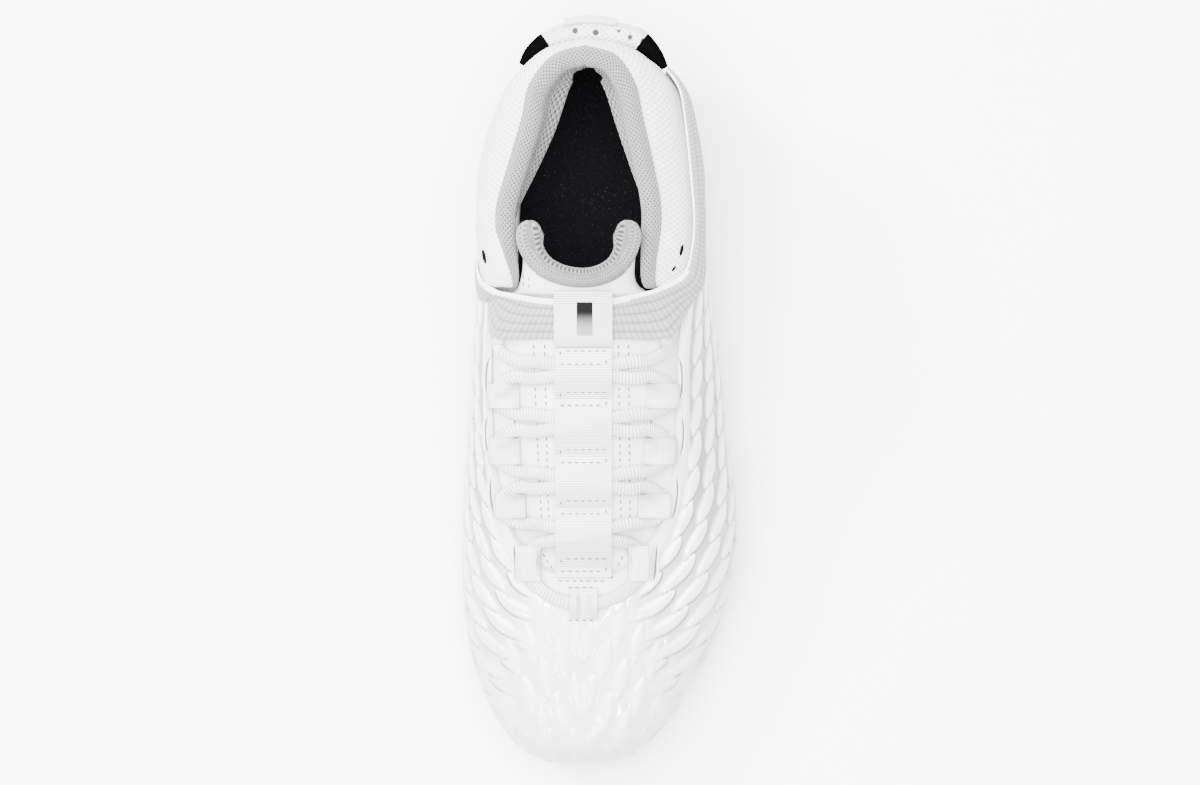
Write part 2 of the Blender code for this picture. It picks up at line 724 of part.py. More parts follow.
def collar_section(side, turn):
    """Closed section of the collar, up its outside and down its inside."""
    gap = WALL + CLEARANCE
    outside = [shell_point(side, turn, way, gap) for way in COLLAR_WAYS]
    bulge = collar_point(side, turn, BULGE)
    seam = collar_point(side, turn, SEAM)
    pad = collar_point(side, turn, PAD)
    across = -outward(side, turn)
    roll = COLLAR_ROLL
    crest = seam + across * roll + Vector((0, 0, 0.5 * roll))
    brow = crest + across * roll - Vector((0, 0, 0.9 * roll))
    above = outside[-1] + Vector((0, 0, CLEARANCE * 2))
    out_low = bulge + (above - bulge) * 0.45 - across * HOLLOW
    out_high = bulge + (seam - bulge) * 0.55 - across * WAIST + Vector((0, 0, 0.001))
    inside = [shell_point(side, turn, way, gap + LINING) for way in reversed(COLLAR_WAYS[:3])]
    throat = pad + (brow - pad) * 0.5 - across * HOLLOW
    waist = inside[0] + (pad - inside[0]) * 0.55 - across * HOLLOW
    return outside + [out_low, bulge, out_high, seam, crest, brow, throat, pad, waist] + inside


def make_collar():
    start = turn_of(COLLAR_START)
    turns = [start] + [math.pi * i / RING for i in range(RING + 1) if math.pi * i / RING > start]
    sections = [collar_section(-1, turn) for turn in turns]
    sections += [collar_section(1, turn) for turn in reversed(turns[:-1])]
    return loft("collar", sections, "knit")


# Tongue

def turn_at_throat(side, y):
    """Turn at which the shell's top edge has a given y, along the throat."""
    low, high = turn_of(0.02), turn_of(0.70)
    for _ in range(30):
        middle = 0.5 * (low + high)
        if top_edge(side, middle).y < y:
            low = middle
        else:
            high = middle
    return 0.5 * (low + high)


def throat_section(share):
    """Tongue across the throat: its sides tuck under the shell's edges."""
    y = share_y(share)
    ridge = Vector((MIDDLE_X, y, PLATE_TOP + INSTEP_HEIGHT * spline(RIDGE, 1, share)))
    line = []
    for side in (-1, 1):
        turn = turn_at_throat(side, y)
        depth = WALL + TUCK * (1 + 2 * ramp(share, 0.35, 0.29))
        foot = shell_point(side, turn, UNDER, depth)
        edge = shell_point(side, turn, 1.0, depth)
        level = abs(ridge.x - edge.x)
        rise = (edge - foot).normalized()
        first = edge + rise * 0.30 * level
        second = ridge - Vector((-side * 0.55 * level, 0, 0))
        line.append([foot] + [bezier(edge, first, second, ridge, k / (HALF_COLUMNS - 1))
                              for k in range(HALF_COLUMNS)])
    return line[0] + list(reversed(line[1]))[1:]


def top_section(row):
    """Tongue above the throat, curled round the front of the ankle."""
    y, z, inner, outer, back, drop, _ = row
    line = []
    most = math.radians(TONGUE_CURL)
    for k in range(-HALF_COLUMNS, HALF_COLUMNS + 1):
        way = k / HALF_COLUMNS
        half = BALL_WIDTH * (inner if way < 0 else outer)
        curl = way * most
        bend = (1 - math.cos(curl)) / (1 - math.cos(most))
        line.append(Vector((MIDDLE_X + half * math.sin(curl),
                            share_y(y) + SHELL_LENGTH * back * bend,
                            PLATE_TOP + TONGUE_HEIGHT * (z - drop * bend))))
    return line


def grid_normals(grid):
    rows = len(grid)
    columns = len(grid[0])
    result = []
    for i in range(rows):
        line = []
        for j in range(columns):
            along = grid[min(i + 1, rows - 1)][j] - grid[max(i - 1, 0)][j]
            across = grid[i][min(j + 1, columns - 1)] - grid[i][max(j - 1, 0)]
            line.append(across.cross(along).normalized())
        result.append(line)
    return result


def toe_rows(share):
    """The tongue's lower end: two rows tucked under the bottom of the throat."""
    last = {side: turn_at_throat(side, share_y(share)) for side in (-1, 1)}
    rows = []
    for way in (0.93, 0.985):
        line = []
        for k in range(-HALF_COLUMNS, HALF_COLUMNS + 1):
            side = -1 if k < 0 else 1
            part = abs(k) / HALF_COLUMNS
            depth = WALL + TUCK * (1 + 2 * part)
            line.append(shell_point(side, last[side] * part, way, depth))
        rows.append(line)
    return rows


def make_tongue():
    outer = toe_rows(TONGUE_SHARES[0] - TONGUE_FOOT)
    outer += [throat_section(share) for share in TONGUE_SHARES]
    thick = [1.0] * len(outer)
    for row in TONGUE_TOP:
        outer.append(top_section(row))
        thick.append(row[-1])
    normals = grid_normals(outer)
    columns = len(outer[0])
    inner = []
    for i, line in enumerate(outer):
        padding = ramp(thick[i], 1.0, thick[-1])
        walls = [TONGUE_WALL * thick[i] * (1 + (WING[abs(j - columns // 2)] - 1) * padding)
                 for j in range(columns)]
        inner.append([line[j] - normals[i][j] * walls[j] for j in range(columns)])
    # Rounded top of the padded rim
    roll = TONGUE_WALL * thick[-1]
    crest = Vector((0, 0, 0.30 * roll))
    outer.append([outer[-1][j] - normals[-1][j] * (0.22 * roll) + crest for j in range(columns)])
    inner.append([inner[-1][j] + normals[-1][j] * (0.22 * roll) + crest for j in range(columns)])
    return sheet_solid("tongue", outer, inner, "knit")


# Insole

def make_insole():
    inset = WALL + LINING + 2 * CLEARANCE
    count = RING
    top = []
    bottom = []
    for side, turn in around(count):
        place = foot_edge(side, turn) - outward(side, turn) * inset
        floor = plate_top(place.y) + CLEARANCE
        bottom.append(Vector((place.x, place.y, floor)))
        top.append(Vector((place.x, place.y, floor + INSOLE)))
    total = len(top)
    points = bottom + top
    faces = [(i, (i + 1) % total, total + (i + 1) % total, total + i) for i in range(total)]
    for base in (0, total):
        for i in range(count):
            far = base + (total - i - 1) % total
            near = base + (total - i) % total
            faces.append(tuple(dict.fromkeys((base + i, base + i + 1, far, near))))
    return make_object("insole", points, faces, "sock_black")


# Pieces laid on the tongue and shell

def taut(line, up):
    """Heights of a sheet pulled tight over a row of points: no dips between the high places."""
    hull = []
    for k, (run, height) in enumerate(line):
        while len(hull) > 1:
            a, b = hull[-2], hull[-1]
            if (b[0] - a[0]) * (height - a[1]) >= (b[1] - a[1]) * (run - a[0]):
                hull.pop()
            else:
                break
        hull.append((run, height))
    result = []
    for run, _ in line:
        i = max(k for k in range(len(hull) - 1) if hull[k][0] <= run + 1e-9) if run > hull[0][0] else 0
        a, b = hull[i], hull[i + 1]
        result.append(a[1] + (b[1] - a[1]) * (run - a[0]) / (b[0] - a[0]) + up)
    return result


def rolled_sheet(name, grid, thick, material_name):
    """Solid sheet whose underside is a grid of points, rows of points across."""
    normals = grid_normals(grid)
    top = [[grid[i][j] + Vector((0, 0, thick / max(abs(normals[i][j].z), 0.55)))
            for j in range(len(grid[0]))] for i in range(len(grid))]
    return sheet_solid(name, top, grid, material_name)


def lace_route(first_side):
    """Middle line of one half of the lace, seen from above, from its top end down to the toe."""
    half = 0.5 * LACE_WIDTH
    centre = Vector((MIDDLE_X, 0, 0))
    route = []
    side = first_side
    rows = len(CROSSINGS)
    for k in reversed(range(rows)):
        column = 0 if side < 0 else 1
        low = share_y(CROSSINGS[k]) + 0.95 * half
        high = (share_y(CROSSINGS[k + 1]) - 0.95 * half) if k + 1 < rows else share_y(0.600)
        reach = BALL_WIDTH * TURNS[k][column] - centre.x
        points = [(0.45, high - 0.03 * (high - low)), (0.78, high - 0.02 * (high - low)),
                  (0.96, high - 0.26 * (high - low)), (1.0, 0.5 * (high + low)),
                  (0.95, low + 0.26 * (high - low)), (0.76, low + 0.06 * (high - low)),
                  (0.45, low)]
        if k + 1 == rows:
            points = [(0.90, high)] + points[2:]
        route += [Vector((centre.x + reach * part, y, 0)) for part, y in points]
        side = -side
    # Lowest turn, round into the small loop at the toe
    foot = share_y(CROSSINGS[0]) - 0.95 * half
    end = share_y(TOE_LOOP_AT)
    wide = BALL_WIDTH * (LOW_TURN_INNER if side < 0 else LOW_TURN_OUTER) - centre.x
    drop = foot - end
    route += [Vector((centre.x + wide * part, foot - drop * fall, 0))
              for part, fall in ((0.50, 0.02), (0.86, 0.12), (1.0, 0.36), (0.92, 0.64),
                                 (0.64, 0.86), (0.34, 0.97), (0.12, 1.0))]
    return route


def tube(name, route, lift, under, width, thick, sides, material_name):
    """Flat cord along a route, resting on what lies under it."""
    middles = []
    ups = []
    for i, place in enumerate(route):
        along = (route[min(i + 1, len(route) - 1)] - route[max(i - 1, 0)]).normalized()
        across = Vector((-along.y, along.x, 0))
        left = place + across * (0.5 * width)
        right = place - across * (0.5 * width)
        z_left = under.near(left.x, left.y, 0.0008, 0.0008)
        z_right = under.near(right.x, right.y, 0.0008, 0.0008)
        z_middle = under.near(place.x, place.y, 0.0008, 0.0008)
        slope = (z_left - z_right) / width
        rest = max(z_middle, 0.5 * (z_left + z_right))
        tall = math.sqrt(1 + slope * slope)
        middles.append(Vector((place.x, place.y, rest + (0.5 * thick + 2.5 * CLEARANCE) * tall + lift[i])))
        ups.append(across * -slope + Vector((0, 0, 1)))
    count = len(middles)
    for _ in range(2):
        smoother = list(middles)
        for i in range(1, count - 1):
            level = 0.25 * (middles[i - 1].z + 2 * middles[i].z + middles[i + 1].z)
            smoother[i] = Vector((middles[i].x, middles[i].y, max(level, middles[i].z)))
        middles = smoother
    sections = []
    for i in range(count):
        along = (middles[min(i + 1, count - 1)] - middles[max(i - 1, 0)]).normalized()
        up = (ups[i] - along * ups[i].dot(along)).normalized()
        across = along.cross(up)
        sections.append([middles[i] + across * (0.5 * width * math.cos(2 * math.pi * k / sides))
                         + up * (0.5 * thick * math.sin(2 * math.pi * k / sides)) for k in range(sides)])
    return loft(name, sections, material_name), middles


def make_laces(under):
    halves = []
    ends = []
    for side in (-1, 1):
        route = smooth(lace_route(side), LACE_STEPS)
        lift = []
        for place in route:
            near = max(0.0, 1 - abs(place.x - MIDDLE_X) / (0.5 * STRIP_WIDTH))
            crosses = side < 0 and place.y > share_y(CROSSINGS[0]) - 0.5 * LACE_WIDTH
            lift.append(LACE_HUMP * near if crosses else 0.0)
        half, middles = tube("laces", route, lift, under, LACE_WIDTH, LACE_THICK, LACE_SIDES, "lace")
        halves.append(half)
        ends.append(middles[-1])
    # The stretch inside the toe loop joins the two halves.
    a, b = ends
    along = (b - a).normalized()
    start = a - along * 0.0012
    stop = b + along * 0.0012
    up = Vector((0, 0, 1))
    up = (up - along * up.dot(along)).normalized()
    across = along.cross(up)
    bar = [[place + across * (0.53 * LACE_WIDTH * math.cos(2 * math.pi * k / LACE_SIDES + 0.2))
            + up * (0.53 * LACE_THICK * math.sin(2 * math.pi * k / LACE_SIDES + 0.2))
            for k in range(LACE_SIDES)] for place in (start, stop)]
    return join_solids("laces", [halves[0], loft("bar", bar, "lace"), halves[1]])


def loop_plan():
    """Webbing loops: name, middle along the shoe, length, outer end and direction inwards, width."""
    plan = []
    for side, word in ((-1, "inner"), (1, "outer")):
        column = 0 if side < 0 else 1
        for k in range(len(CROSSINGS) - 1):
            low = share_y(CROSSINGS[k])
            high = share_y(CROSSINGS[k + 1])
            start = BALL_WIDTH * TURNS[k][column] + side * LOOP_PAST
            length = LOOP_SPAN * (high - low)
            plan.append((f"{word}_{k + 1}", 0.5 * (low + high), length, start, -side, LOOP_WIDTH))
        start = BALL_WIDTH * (LOW_TURN_INNER if side < 0 else LOW_TURN_OUTER) + side * LOW_LOOP_PAST
        plan.append((f"{word}_4", share_y(LOW_LOOP_AT), LOW_LOOP_LENGTH, start, -side, LOW_LOOP_WIDTH))
    return plan


def make_lace_loops(under):
    """Webbing that holds the lace's turns down along both edges of the throat."""
    for name, middle, length, start, inwards, width in loop_plan():
        deep = 0.44 * length / (LOOP_ROWS - 1)
        grid = []
        for i in range(LOOP_ROWS):
            y = middle + length * (i / (LOOP_ROWS - 1) - 0.5)
            line = []
            for j in range(LOOP_COLUMNS):
                run = width * j / (LOOP_COLUMNS - 1)
                line.append((run, under.near(start + inwards * run, y, LOOP_ROOM, deep)))
            heights = taut(line, 1.5 * CLEARANCE)
            grid.append([Vector((start + inwards * run, y, z)) for (run, _), z in zip(line, heights)])
        rolled_sheet(f"lace_loop_{name}", grid, LOOP_THICK, "webbing")


def strip_grid(under, start, end, width, rows, columns, pinned):
    """Underside of webbing along the ridge, taut between the places where it is stitched down."""
    stations = [start + (end - start) * i / (rows - 1) for i in range(rows)]
    step_x = 0.5 * width / (columns - 1)
    step_y = 0.5 * abs(end - start) / (rows - 1)
    grid = [[None] * columns for _ in stations]
    nearest = [min(range(rows), key=lambda i: abs(stations[i] - place)) for place in pinned]
    breaks = sorted(set([0, rows - 1] + nearest))
    for j in range(columns):
        x = MIDDLE_X + width * (j / (columns - 1) - 0.5)
        raw = [under.near(x, y, step_x, step_y) for y in stations]
        for a, b in zip(breaks, breaks[1:]):
            part = [(stations[i] - stations[a], raw[i]) for i in range(a, b + 1)]
            if part[-1][0] < 0:
                part = [(-run, z) for run, z in part]
            for i, z in zip(range(a, b + 1), taut(part, 1.5 * CLEARANCE)):
                if grid[i][j] is None or grid[i][j].z < z:
                    grid[i][j] = Vector((x, stations[i], z))
    return grid


def make_strip(under):
    grid = strip_grid(under, share_y(STRIP_START), share_y(STRIP_END), STRIP_WIDTH, 37, 3,
                      [share_y(share) for share in STITCHED])
    return rolled_sheet("centre_strip", grid, STRIP_THICK, "webbing")


def make_keeper(under):
    grid = strip_grid(under, share_y(KEEPER_START), share_y(KEEPER_END), 1.02 * STRIP_WIDTH, 13, 3, [])
    return rolled_sheet("strap_keeper", grid, KEEPER_THICK, "webbing")


def make_toe_loop(under):
    middle = share_y(TOE_LOOP_AT)
    half = 0.5 * TOE_LOOP_LENGTH
    grid = strip_grid(under, middle - half, middle + half, TOE_LOOP_WIDTH, 11, 4, [])
    return rolled_sheet("toe_lace_loop", grid, LOOP_THICK, "webbing")


def make_strap(under):
    centre = Vector((MIDDLE_X + 0.0015, share_y(ANKLE_Y), 0))
    span = (STRAP[-1][0] - STRAP[0][0]) / (STRAP_STATIONS - 1)
    tall = []
    reach = []
    for i in range(STRAP_STATIONS):
        angle = STRAP[0][0] + span * i
        low = PLATE_TOP + COLLAR_HEIGHT * spline(STRAP, 1, angle)
        high = PLATE_TOP + COLLAR_HEIGHT * spline(STRAP, 2, angle)
        heights = [low + (high - low) * j / (STRAP_ROWS - 1) for j in range(STRAP_ROWS)]
        line = []
        for z in heights:
            found = []
            for turn_step in (-0.5, -0.25, 0.0, 0.25, 0.5):
                turn = math.radians(angle + span * turn_step)
                direction = Vector((math.sin(turn), -math.cos(turn), 0))
                far = min(STRAP_FRONT / max(math.cos(turn), 0.4), 0.12)
                for shift in (-0.0007, 0.0, 0.0007):
                    found.append(under.reach(Vector((centre.x, centre.y, z + shift)), direction, far))
            found = [r for r in found if r is not None]
            line.append((z - low, max(found) if found else 0.0))
        least = min(r for _, r in line if r > 0)
        line = [(z, max(r, least)) for z, r in line]
        tall.append(heights)
        reach.append(taut(line, 3.5 * CLEARANCE))
    # Elastic pulled tight along its length
    for _ in range(STRAP_STATIONS):
        tight = [list(line) for line in reach]
        for i in range(1, STRAP_STATIONS - 1):
            for j in range(STRAP_ROWS):
                a = reach[i - 1][j]
                b = reach[i + 1][j]
                chord = 2 * a * b * math.cos(math.radians(span)) / (a + b)
                tight[i][j] = max(reach[i][j], chord)
        reach = tight
    inside = []
    outside = []
    for i in range(STRAP_STATIONS):
        turn = math.radians(STRAP[0][0] + span * i)
        direction = Vector((math.sin(turn), -math.cos(turn), 0))
        lean = math.atan2(reach[i][0] - reach[i][-1], tall[i][-1] - tall[i][0])
        thick = STRAP_THICK / max(math.cos(lean), 0.5)
        inside.append([Vector((centre.x, centre.y, z)) + direction * r
                       for z, r in zip(tall[i], reach[i])])
        outside.append([place + direction * thick for place in inside[-1]])
    return sheet_solid("ankle_strap", outside, inside, "elastic")


# Heel

def heel_centre():
    return Vector((HEEL_X * BALL_WIDTH, share_y(HEEL_Y), 0))


def make_pull(under):
    centre = heel_centre()
    level = PLATE_TOP + COLLAR_HEIGHT * PULL_LEVEL
    span = (PULL[-1][0] - PULL[0][0]) / (PULL_STATIONS - 1)
    reach = []
    halves = []
    for i in range(PULL_STATIONS):
        angle = PULL[0][0] + span * i
        half_thick = 0.5 * PULL_THICK * spline(PULL, 1, angle)
        half_tall = 0.5 * PULL_HEIGHT * spline(PULL, 2, angle)
        found = []
        for turn_step in (-0.5, 0.0, 0.5):
            turn = math.radians(angle + span * turn_step)
            direction = Vector((math.sin(turn), math.cos(turn), 0))
            for part in (-0.95, -0.5, 0.0, 0.5, 0.95):
                r = under.reach(Vector((centre.x, centre.y, level + half_tall * part)), direction)
                if r is not None:
                    found.append(r + CLEARANCE - half_thick * (1 - math.sqrt(1 - part * part)))
        reach.append(max(found))
        halves.append((half_thick, half_tall))
    sections = []
    for i in range(PULL_STATIONS):
        turn = math.radians(PULL[0][0] + span * i)
        direction = Vector((math.sin(turn), math.cos(turn), 0))
        half_thick, half_tall = halves[i]
        middle = centre + direction * (reach[i] + half_thick) + Vector((0, 0, level))
        sections.append([middle + direction * (half_thick * math.cos(2 * math.pi * k / PULL_SIDES))
                         + Vector((0, 0, half_tall * math.sin(2 * math.pi * k / PULL_SIDES)))
                         for k in range(PULL_SIDES)])
    return loft("heel_pull", sections, "pull")


def make_heel_tab(under):
    """Flat webbing over the loop, down to the back of the shell."""
    centre = heel_centre()
    low = PLATE_TOP + TAB_LOW * COLLAR_HEIGHT
    high = PLATE_TOP + TAB_HIGH * COLLAR_HEIGHT
    direction = Vector((0, 1, 0))
    heights = [low + (high - low) * i / (TAB_ROWS - 1) for i in range(TAB_ROWS)]
    step = 0.5 * (high - low) / (TAB_ROWS - 1)
    inside = [[None] * TAB_COLUMNS for _ in range(TAB_ROWS)]
    for j in range(TAB_COLUMNS):
        x = centre.x + TAB_WIDTH * (j / (TAB_COLUMNS - 1) - 0.5)
        line = []
        for z in heights:
            found = [under.reach(Vector((x + dx, centre.y, z + dz)), direction)
                     for dx in (-0.0026, 0.0, 0.0026) for dz in (-step, 0.0, step)]
            line.append((z - low, max(r for r in found if r is not None)))
        for i, r in enumerate(taut(line, CLEARANCE)):
            inside[i][j] = Vector((x, centre.y + r, heights[i]))
    outside = [[place + direction * TAB_THICK for place in row] for row in inside]
    return sheet_solid("heel_tab", outside, inside, "webbing")


def main():
    for thing in list(bpy.data.objects):
        bpy.data.objects.remove(thing)
    make_outsole()
    upper = make_upper()
    collar = make_collar()
    tongue = make_tongue()
    make_insole()
    laces = make_laces(Cover([upper, tongue]))
    make_lace_loops(Cover([upper, tongue, laces]))
    make_strip(Cover([tongue, laces, upper]))
    make_toe_loop(Cover([upper, laces, tongue]))
    strap = make_strap(Cover([upper, tongue, collar, laces]))
    make_keeper(Cover([tongue, strap, laces]))
    pull = make_pull(Cover([upper, collar, strap]))
    make_heel_tab(Cover([upper, collar, pull]))


main()
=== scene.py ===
import math
from bisect import bisect_right

import bmesh
import bpy
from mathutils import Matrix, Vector
from mathutils.bvhtree import BVHTree


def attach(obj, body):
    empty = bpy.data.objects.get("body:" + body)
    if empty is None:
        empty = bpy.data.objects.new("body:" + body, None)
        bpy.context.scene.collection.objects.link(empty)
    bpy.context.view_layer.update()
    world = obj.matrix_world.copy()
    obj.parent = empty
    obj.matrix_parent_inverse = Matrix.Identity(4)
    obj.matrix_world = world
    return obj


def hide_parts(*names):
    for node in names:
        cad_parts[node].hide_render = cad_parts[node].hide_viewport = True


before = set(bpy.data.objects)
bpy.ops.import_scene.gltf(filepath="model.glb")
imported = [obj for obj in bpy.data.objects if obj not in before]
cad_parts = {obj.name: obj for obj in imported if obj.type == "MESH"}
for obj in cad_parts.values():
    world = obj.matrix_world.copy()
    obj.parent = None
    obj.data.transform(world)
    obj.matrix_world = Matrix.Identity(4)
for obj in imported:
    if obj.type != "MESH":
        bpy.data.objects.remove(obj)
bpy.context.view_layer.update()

# Sizes of the shoe
SHELL_LENGTH = 0.2938        # moulded shell, from toe to heel
BALL_WIDTH = 0.110           # widest part of the forefoot
INSTEP_HEIGHT = 0.082        # ridge of the tongue above the plate, at the middle of the shoe
SHELL_HEIGHT = 0.080         # back of the shell above the plate
COLLAR_HEIGHT = 0.101        # rolled edge of the collar above the plate
TONGUE_HEIGHT = 0.111        # rolled edge of the tongue above the plate
STUD_HEIGHT = 0.0125
PLATE = 0.0042               # plate between the studs and the insole
WALL = 0.0020                # moulded shell
STEP = 0.0007                # raised rim of the shell and raised heel counter
COLLAR_ROLL = 0.0040         # how far each step of the collar's rolled edge lies from the last
LINING = 0.0030              # lining of the collar, low down in the shell
TONGUE_WALL = 0.0032
CLEARANCE = 0.0003           # between two pieces that touch
WELD = 0.000002              # points of one mesh that are closer than this are joined
TOE_SPRING = 0.0135          # rise of the plate at the tip of the toe
ARCH_RISE = 0.0035           # rise of the plate under the waist

STRIP_WIDTH = 0.0224
STRIP_THICK = 0.0012
STRIP_START, STRIP_END = 0.258, 0.569   # shares of SHELL_LENGTH
KEEPER_START, KEEPER_END = 0.5705, 0.643
KEEPER_THICK = 0.0012
STRAP_THICK = 0.0018
STRAP_FRONT = 0.0590         # furthest that the strap lies in front of the middle of the ankle
ANKLE_Y = 0.770              # middle of the ankle, as a share of SHELL_LENGTH
LACE_WIDTH = 0.0056
LACE_THICK = 0.0032
LACE_HUMP = 0.0012           # how far one row of lace rises over the other where they cross
LOOP_THICK = 0.0010
LOOP_SPAN = 0.36             # length of the side loops, as a share of the distance between lace rows
LOOP_WIDTH = 0.0130
LOOP_PAST = 0.0032           # how far a loop reaches past the lace's turn
LOW_LOOP_AT = 0.277          # lowest loops, over the sides of the lace's last turn
LOW_LOOP_LENGTH = 0.0140
LOW_LOOP_WIDTH = 0.0102
LOW_LOOP_PAST = 0.0050
TOE_LOOP_AT = 0.222          # small loop at the toe's end of the throat, as a share of SHELL_LENGTH
TOE_LOOP_WIDTH = 0.0110
TOE_LOOP_LENGTH = 0.0124
PULL_THICK = 0.0100
PULL_HEIGHT = 0.0140
PULL_LEVEL = 0.845           # middle of the pull above the plate, as a share of COLLAR_HEIGHT
HEEL_X, HEEL_Y = -0.034, 0.890          # middle of the heel's curve: shares of BALL_WIDTH, SHELL_LENGTH
TAB_WIDTH = 0.0210
TAB_THICK = 0.0012
TAB_LOW, TAB_HIGH = 0.62, 0.905         # ends of the tab above the plate, as shares of COLLAR_HEIGHT

TOE_Y = -0.5 * SHELL_LENGTH - 0.0011
MIDDLE_X = -0.060 * BALL_WIDTH          # line of the strip and of the tongue's ridge
PLATE_TOP = STUD_HEIGHT + PLATE

LOW_PART = 0.22              # share of the way up the shell that lies below its widest place
RIM_START, RIM_END = 0.90, 0.93         # ways at which the shell's raised rim begins and is full
COUNTER_START = 0.80         # start of the raised heel counter, as a share of SHELL_LENGTH
COLLAR_START = 0.656         # front of the collar, as a share of SHELL_LENGTH
COLLAR_WAYS = [0.12, 0.245, 0.45, 0.69, 0.90, 1.0]
HOLLOW = 0.0012              # how far the collar's cover sinks in between its curves
WAIST = 0.0035               # how far it sinks in under its rolled edge
TONGUE_SHARES = [0.292, 0.320, 0.355, 0.395, 0.440, 0.485, 0.530, 0.570, 0.604, 0.632]
TONGUE_FOOT = 0.010          # how far the tongue reaches on under the bottom of the throat
TONGUE_CURL = 98.0           # degrees that the tongue's sides turn back round the ankle
HALF_COLUMNS = 5             # columns of the tongue from its ridge to one side
TUCK = 0.0011                # room between the shell's wall and the tongue under its edge
UNDER = 0.86                 # how far up the shell the tongue's side edge reaches
LOW_TURN_INNER = -0.262      # lowest turns of the lace, as shares of BALL_WIDTH
LOW_TURN_OUTER = 0.150
BULGE, SEAM, PAD = 1, 5, 9   # columns of y in the collar's table

# Shell, dressed
SHELL_STATIONS = 285         # along one side
SHELL_WAYS = 128             # points up the outside
INSIDE_WAYS = [0.0, 0.10, 0.22, 0.34, 0.46, 0.58, 0.70, 0.80, 0.88, 0.94, 1.0]
SCALE_LONG = 0.0170          # leaf-shaped scales moulded on the shell
SCALE_PITCH = 0.0142         # from one to the next along the shoe
SCALE_WIDE = 0.0102          # from one column of scales to the next
SCALE_FULL = 0.80            # width of a scale, as a share of that
SCALE_SLANT = 0.22           # how far it leans per length
SCALE_EDGE = 0.22            # share of a scale's half width over which its outer edge rises
SCALE_DEEP = 0.0013
SCALES_FRONT = (0.015, 0.13)            # shares of the length over which the scales set in
SCALES_BACK = (0.80, 0.90)   # shares of the length over which they end at the heel
SCALES_LOW = (0.02, 0.10)    # ways over which they set in above the plate
SCALES_TOP = 0.86            # way from which they fade towards the rim
SHADOW_LINE_WIDE = 0.0007         # width of the painted shadow line along a scale's outer edge
TOE_LEAN = 0.45              # how far the toe's softer scales lean out per length
TOE_EDGE = 0.85              # share of their half width over which their edge rises
TOE_DEEP = 0.60              # their height, as a share of SCALE_DEEP
TOE_SHADE = 0.15             # painted shade: how dark the places between them are
TOE_BACK = (0.03, 0.19)      # shares of the length over which they end
TOE_LOW, TOE_TOP = (0.08, 0.26), (0.72, 0.96)           # ways over which they set in and end
LOW_SHADE = 0.34             # painted shade: how much darker the shell is painted low down its sides

# Collar, dressed. The points named _AT are counted up the outside of its section and down the inside.
COLLAR_STATIONS = 300        # along one side of the whole shoe
COLLAR_STEPS = 4             # points of the finished section for each point of the coarse one
LOW_AT, BULGE_AT, SEAM_AT, BROW_AT, LINING_AT, INSIDE_AT = 24, 28, 36, 44, 60, 64
COLLAR_NOSE = 0.026          # turn over which the collar's front ends round off
NOSE_LEAST = 0.45            # thickness that is left at the very end
LINING_RUN = 0.16            # turn over which the lining narrows towards the front ends
LINING_SHIFT = {-1: 5.5, 1: 2.0}        # how many points its edge moves there, on each side
LINING_SEAM = [(35, 0.0004), (36, 0.0011), (37, 0.0004)]    # points and depths of the seam along it
GATHER_TURN = 2.7            # turn behind which the lining is gathered
GATHER_X = -0.0046           # middle of the gathers

# Tongue, dressed
TONGUE_STEPS = 6             # finer points for each point of the coarse tongue
TONGUE_PADDED = 3            # coarse rows of its padded rim
RIM_ROLL = (20, 40, 60, 78)  # degrees of the rows that close the rim's top
RIM_TALL = 0.42              # height of that roll, as a share of the rim's thickness
RIM_MESH = 4                 # rows from the start of the padding to the mesh, at the middle
WING_MESH, WING_FROM = 9.0, 0.45        # more rows towards the wings, from this share of the half width
BACK_MESH = 30               # rows that the mesh reaches further down on the back
WING_ROUND = 0.78            # share of the tongue's half width where its wings start to round off
WING_END = 0.96              # how sharply they do
WING_FRONT = 0.45            # share of that rounding on the front side, and on the back side

# Lace, dressed
LACE_FINE = 7                # points for each point of its route
LACE_ROUND = 16              # points round it
LACE_SMOOTHING = 14          # rounds
LACE_GIVE = 0.00002          # how far one round may sink it
LACE_FLAT_END = 0.004        # the inner half rises only this far past the lowest crossing
LACE_SQUARE = 0.8            # one is a plain oval, less is squarer
LACE_LOOK = 0.0008           # reach of the places beside a point that the lace must clear

# Webbing, dressed
STRIP_GRID = (150, 9)        # points along each piece and across it
KEEPER_GRID = (46, 9)
TOE_LOOP_GRID = (31, 9)
LOOP_GRID = (25, 11)
TAB_GRID = (41, 13)
KEEPER_WIDER = 1.02          # width of the keeper, as a share of the strip's
KEEPER_SATIN = 34            # rows of the keeper that are satin
LOOP_SPREAD = 1.25           # how much wider the webbing of a side loop lies than its tightest place
LOOP_LOOK = 0.0006           # reach of the places beside a point that a loop must clear
TAB_LOOK = 0.0012            # the same for the heel tab
STEEPEST = 0.55              # cosine of the steepest slope on which webbing keeps its thickness
BOXES = [0.2750, 0.3545, 0.4240, 0.5010, 0.5560]        # stitched boxes, shares of SHELL_LENGTH
BOX_LONG = 0.0026            # half sizes of a stitched box on the strip
BOX_WIDE = 0.0090
LABEL_X, LABEL_WIDE = -0.0060, 0.0031   # middle of the label's patch, and its half width
LABEL_FOOT, LABEL_TOP = 0.5850, 0.6290  # its ends, shares of SHELL_LENGTH
LABEL_FADE = (-0.0035, 0.001)           # how far inside its ends the fading starts and stops
LABEL_GRID = (16, 28)
LABEL_THICK = 0.00012
LABEL_SINK = 0.00004         # how deep it is sunk into the webbing

